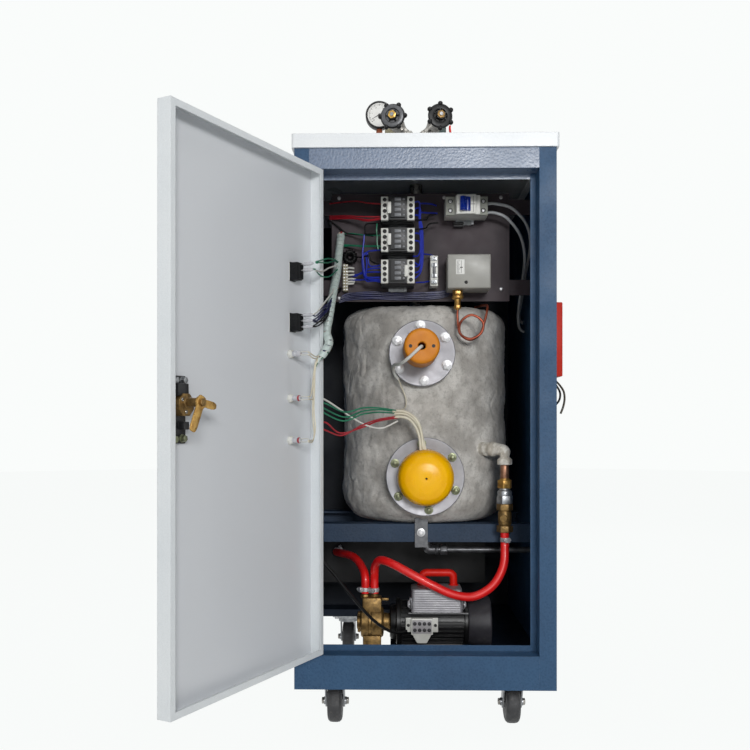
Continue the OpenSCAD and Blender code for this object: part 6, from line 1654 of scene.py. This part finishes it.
# %% [markdown]
# ## Castors
#
# Each of the four castors has a plate with four bolts, a ball race, a pressed fork, and a grey wheel with a hub that
# is a little wider than its tread. The fork keeps its CAD shape. The wheel is one turned profile: soft tread, a step
# to the web, and the hub.

# %% Wheels, axle nuts and plate bolts
tread = [(-13, 20), (-13, 30.5), (-11.6, 34), (-8.5, 36.6), (-4, 37.4), (4, 37.4), (8.5, 36.6), (11.6, 34),
    (13, 30.5), (13, 20)]
web = [(-14.6, 4.5), (-14.6, 10.6), (-13, 11.4), (-5.4, 11.8), (-4.6, 13), (-4.6, 19.5), (-8, 20.6), (-8, 22),
    (8, 22), (8, 20.6), (4.6, 19.5), (4.6, 13),
    (5.4, 11.8), (13, 11.4), (14.6, 10.6), (14.6, 4.5)]
for place, (cx, cy) in {"front_left": (-160, -240), "front_right": (160, -240), "rear_left": (-160, 240),
        "rear_right": (160, 240)}.items():
    centre = (cx, cy + 22, 37.5)
    band = turned(tread, 96, soft=0.5)
    put("tread_" + place, [placed(band, centre, (1, 0, 0))], F["tread"], "roller_" + place,
        stands_for=["wheel_" + place])
    spokes = [placed(turned(web, 64), centre, (1, 0, 0))]
    for i in range(6):
        rib = box(11, 20.6, -1.2, 1.2, -6.5, 6.5, 0.5)
        points, faces = rib
        a = math.radians(60 * i)
        rolled = np.column_stack([points[:, 0] * math.cos(a) - points[:, 1] * math.sin(a), points[:, 0] * math.sin(a)
                + points[:, 1] * math.cos(a), points[:, 2]])
        spokes.append(placed((rolled, faces), centre, (1, 0, 0)))
    put("hub_" + place, spokes, F["hub"], "roller_" + place)
    nuts = [s for side in (-1, 1) for s in bolt((cx + side * 19.4, cy + 22, 37.5), (side, 0, 0), 11, 4, 6.5, turn=25)]
    put("axle_nuts_" + place, nuts, F["nickel"], "swivel_" + place)
plate_bolts = []
for cx in (-160, 160):
    for cy in (-240, 240):
        for dx in (-24, 24):
            for dy in (-34, 34):
                plate_bolts += bolt((cx + dx, cy + dy, 97), (0, 0, -1), 9, 4.5, 7.0, turn=dx + dy)
put("castor_plate_bolts", plate_bolts, F["bolt"])
print("four castors")




# %% [markdown]
# ## The bodies that keep their CAD shape
#
# Sheet metal is already right as the CAD has it: flat faces, square folds. It only needs its paint. The recipe's
# Bevel node rounds the folds for the light.

# %% Finishes for the CAD bodies
KEPT = {
    "rail": "top_rail",
    "cabinet": "left_wall right_wall left_stile right_stile bottom_rail",
    "back": "back_wall",
    "drain": "vessel_lugs",
    "cabinet_dark": "base_channels floor_plate",
    "beam": "vessel_beams",
    "white": "lid",
    "door": "door_panel",
    "panel": "panel_plate",
    "zinc": "mounting_rails drain_pipe castor_plates capacitor_box",
    "flange": "heater_flanges",
    "amber": "upper_cap",
    "yellow": "lower_cap",
    "black": "contactors door_fittings",
    "white_plastic": "contactor_strips breaker pump_terminals",
    "beige": "pressure_controller",
    "ivory": "panel_terminals",
    "copper": "capillary",
    "sheath": "supply_cables door_loom vessel",
    "brass": "feed_pipe check_valve pump_head lock_cam",
    "hose": "red_hoses",
    "paint_black": "water_tank pump_motor gauge",
    "red": "pump_handle safety_lever",
    "black_sheath": "inner_leads cable_tails",
    "nickel": "steam_manifold steam_valves",
    "green_grey": "safety_valve",
    "cover_red": "terminal_cover",
    "lock_black": "door_lock",
    "blue_plastic": "breaker_toggle",
    "wheel_black": "handwheel_left handwheel_right",
    "steel": "fork_front_left fork_front_right fork_rear_left fork_rear_right",
    "tread": "wheel_front_left wheel_front_right wheel_rear_left wheel_rear_right",
}
for tone, names in KEPT.items():
    for name in names.split():
        slots = nodes[name].data.materials
        slots.clear()
        slots.append(F[tone])
shown = [n for n, o in nodes.items() if not o.hide_render]
print(len(shown), "CAD bodies are shown as they are:", " ".join(sorted(shown)))


# %% [markdown]
# ## Closing
#
# The scene is updated once more at the end.

# %% The last update
bpy.context.view_layer.update()
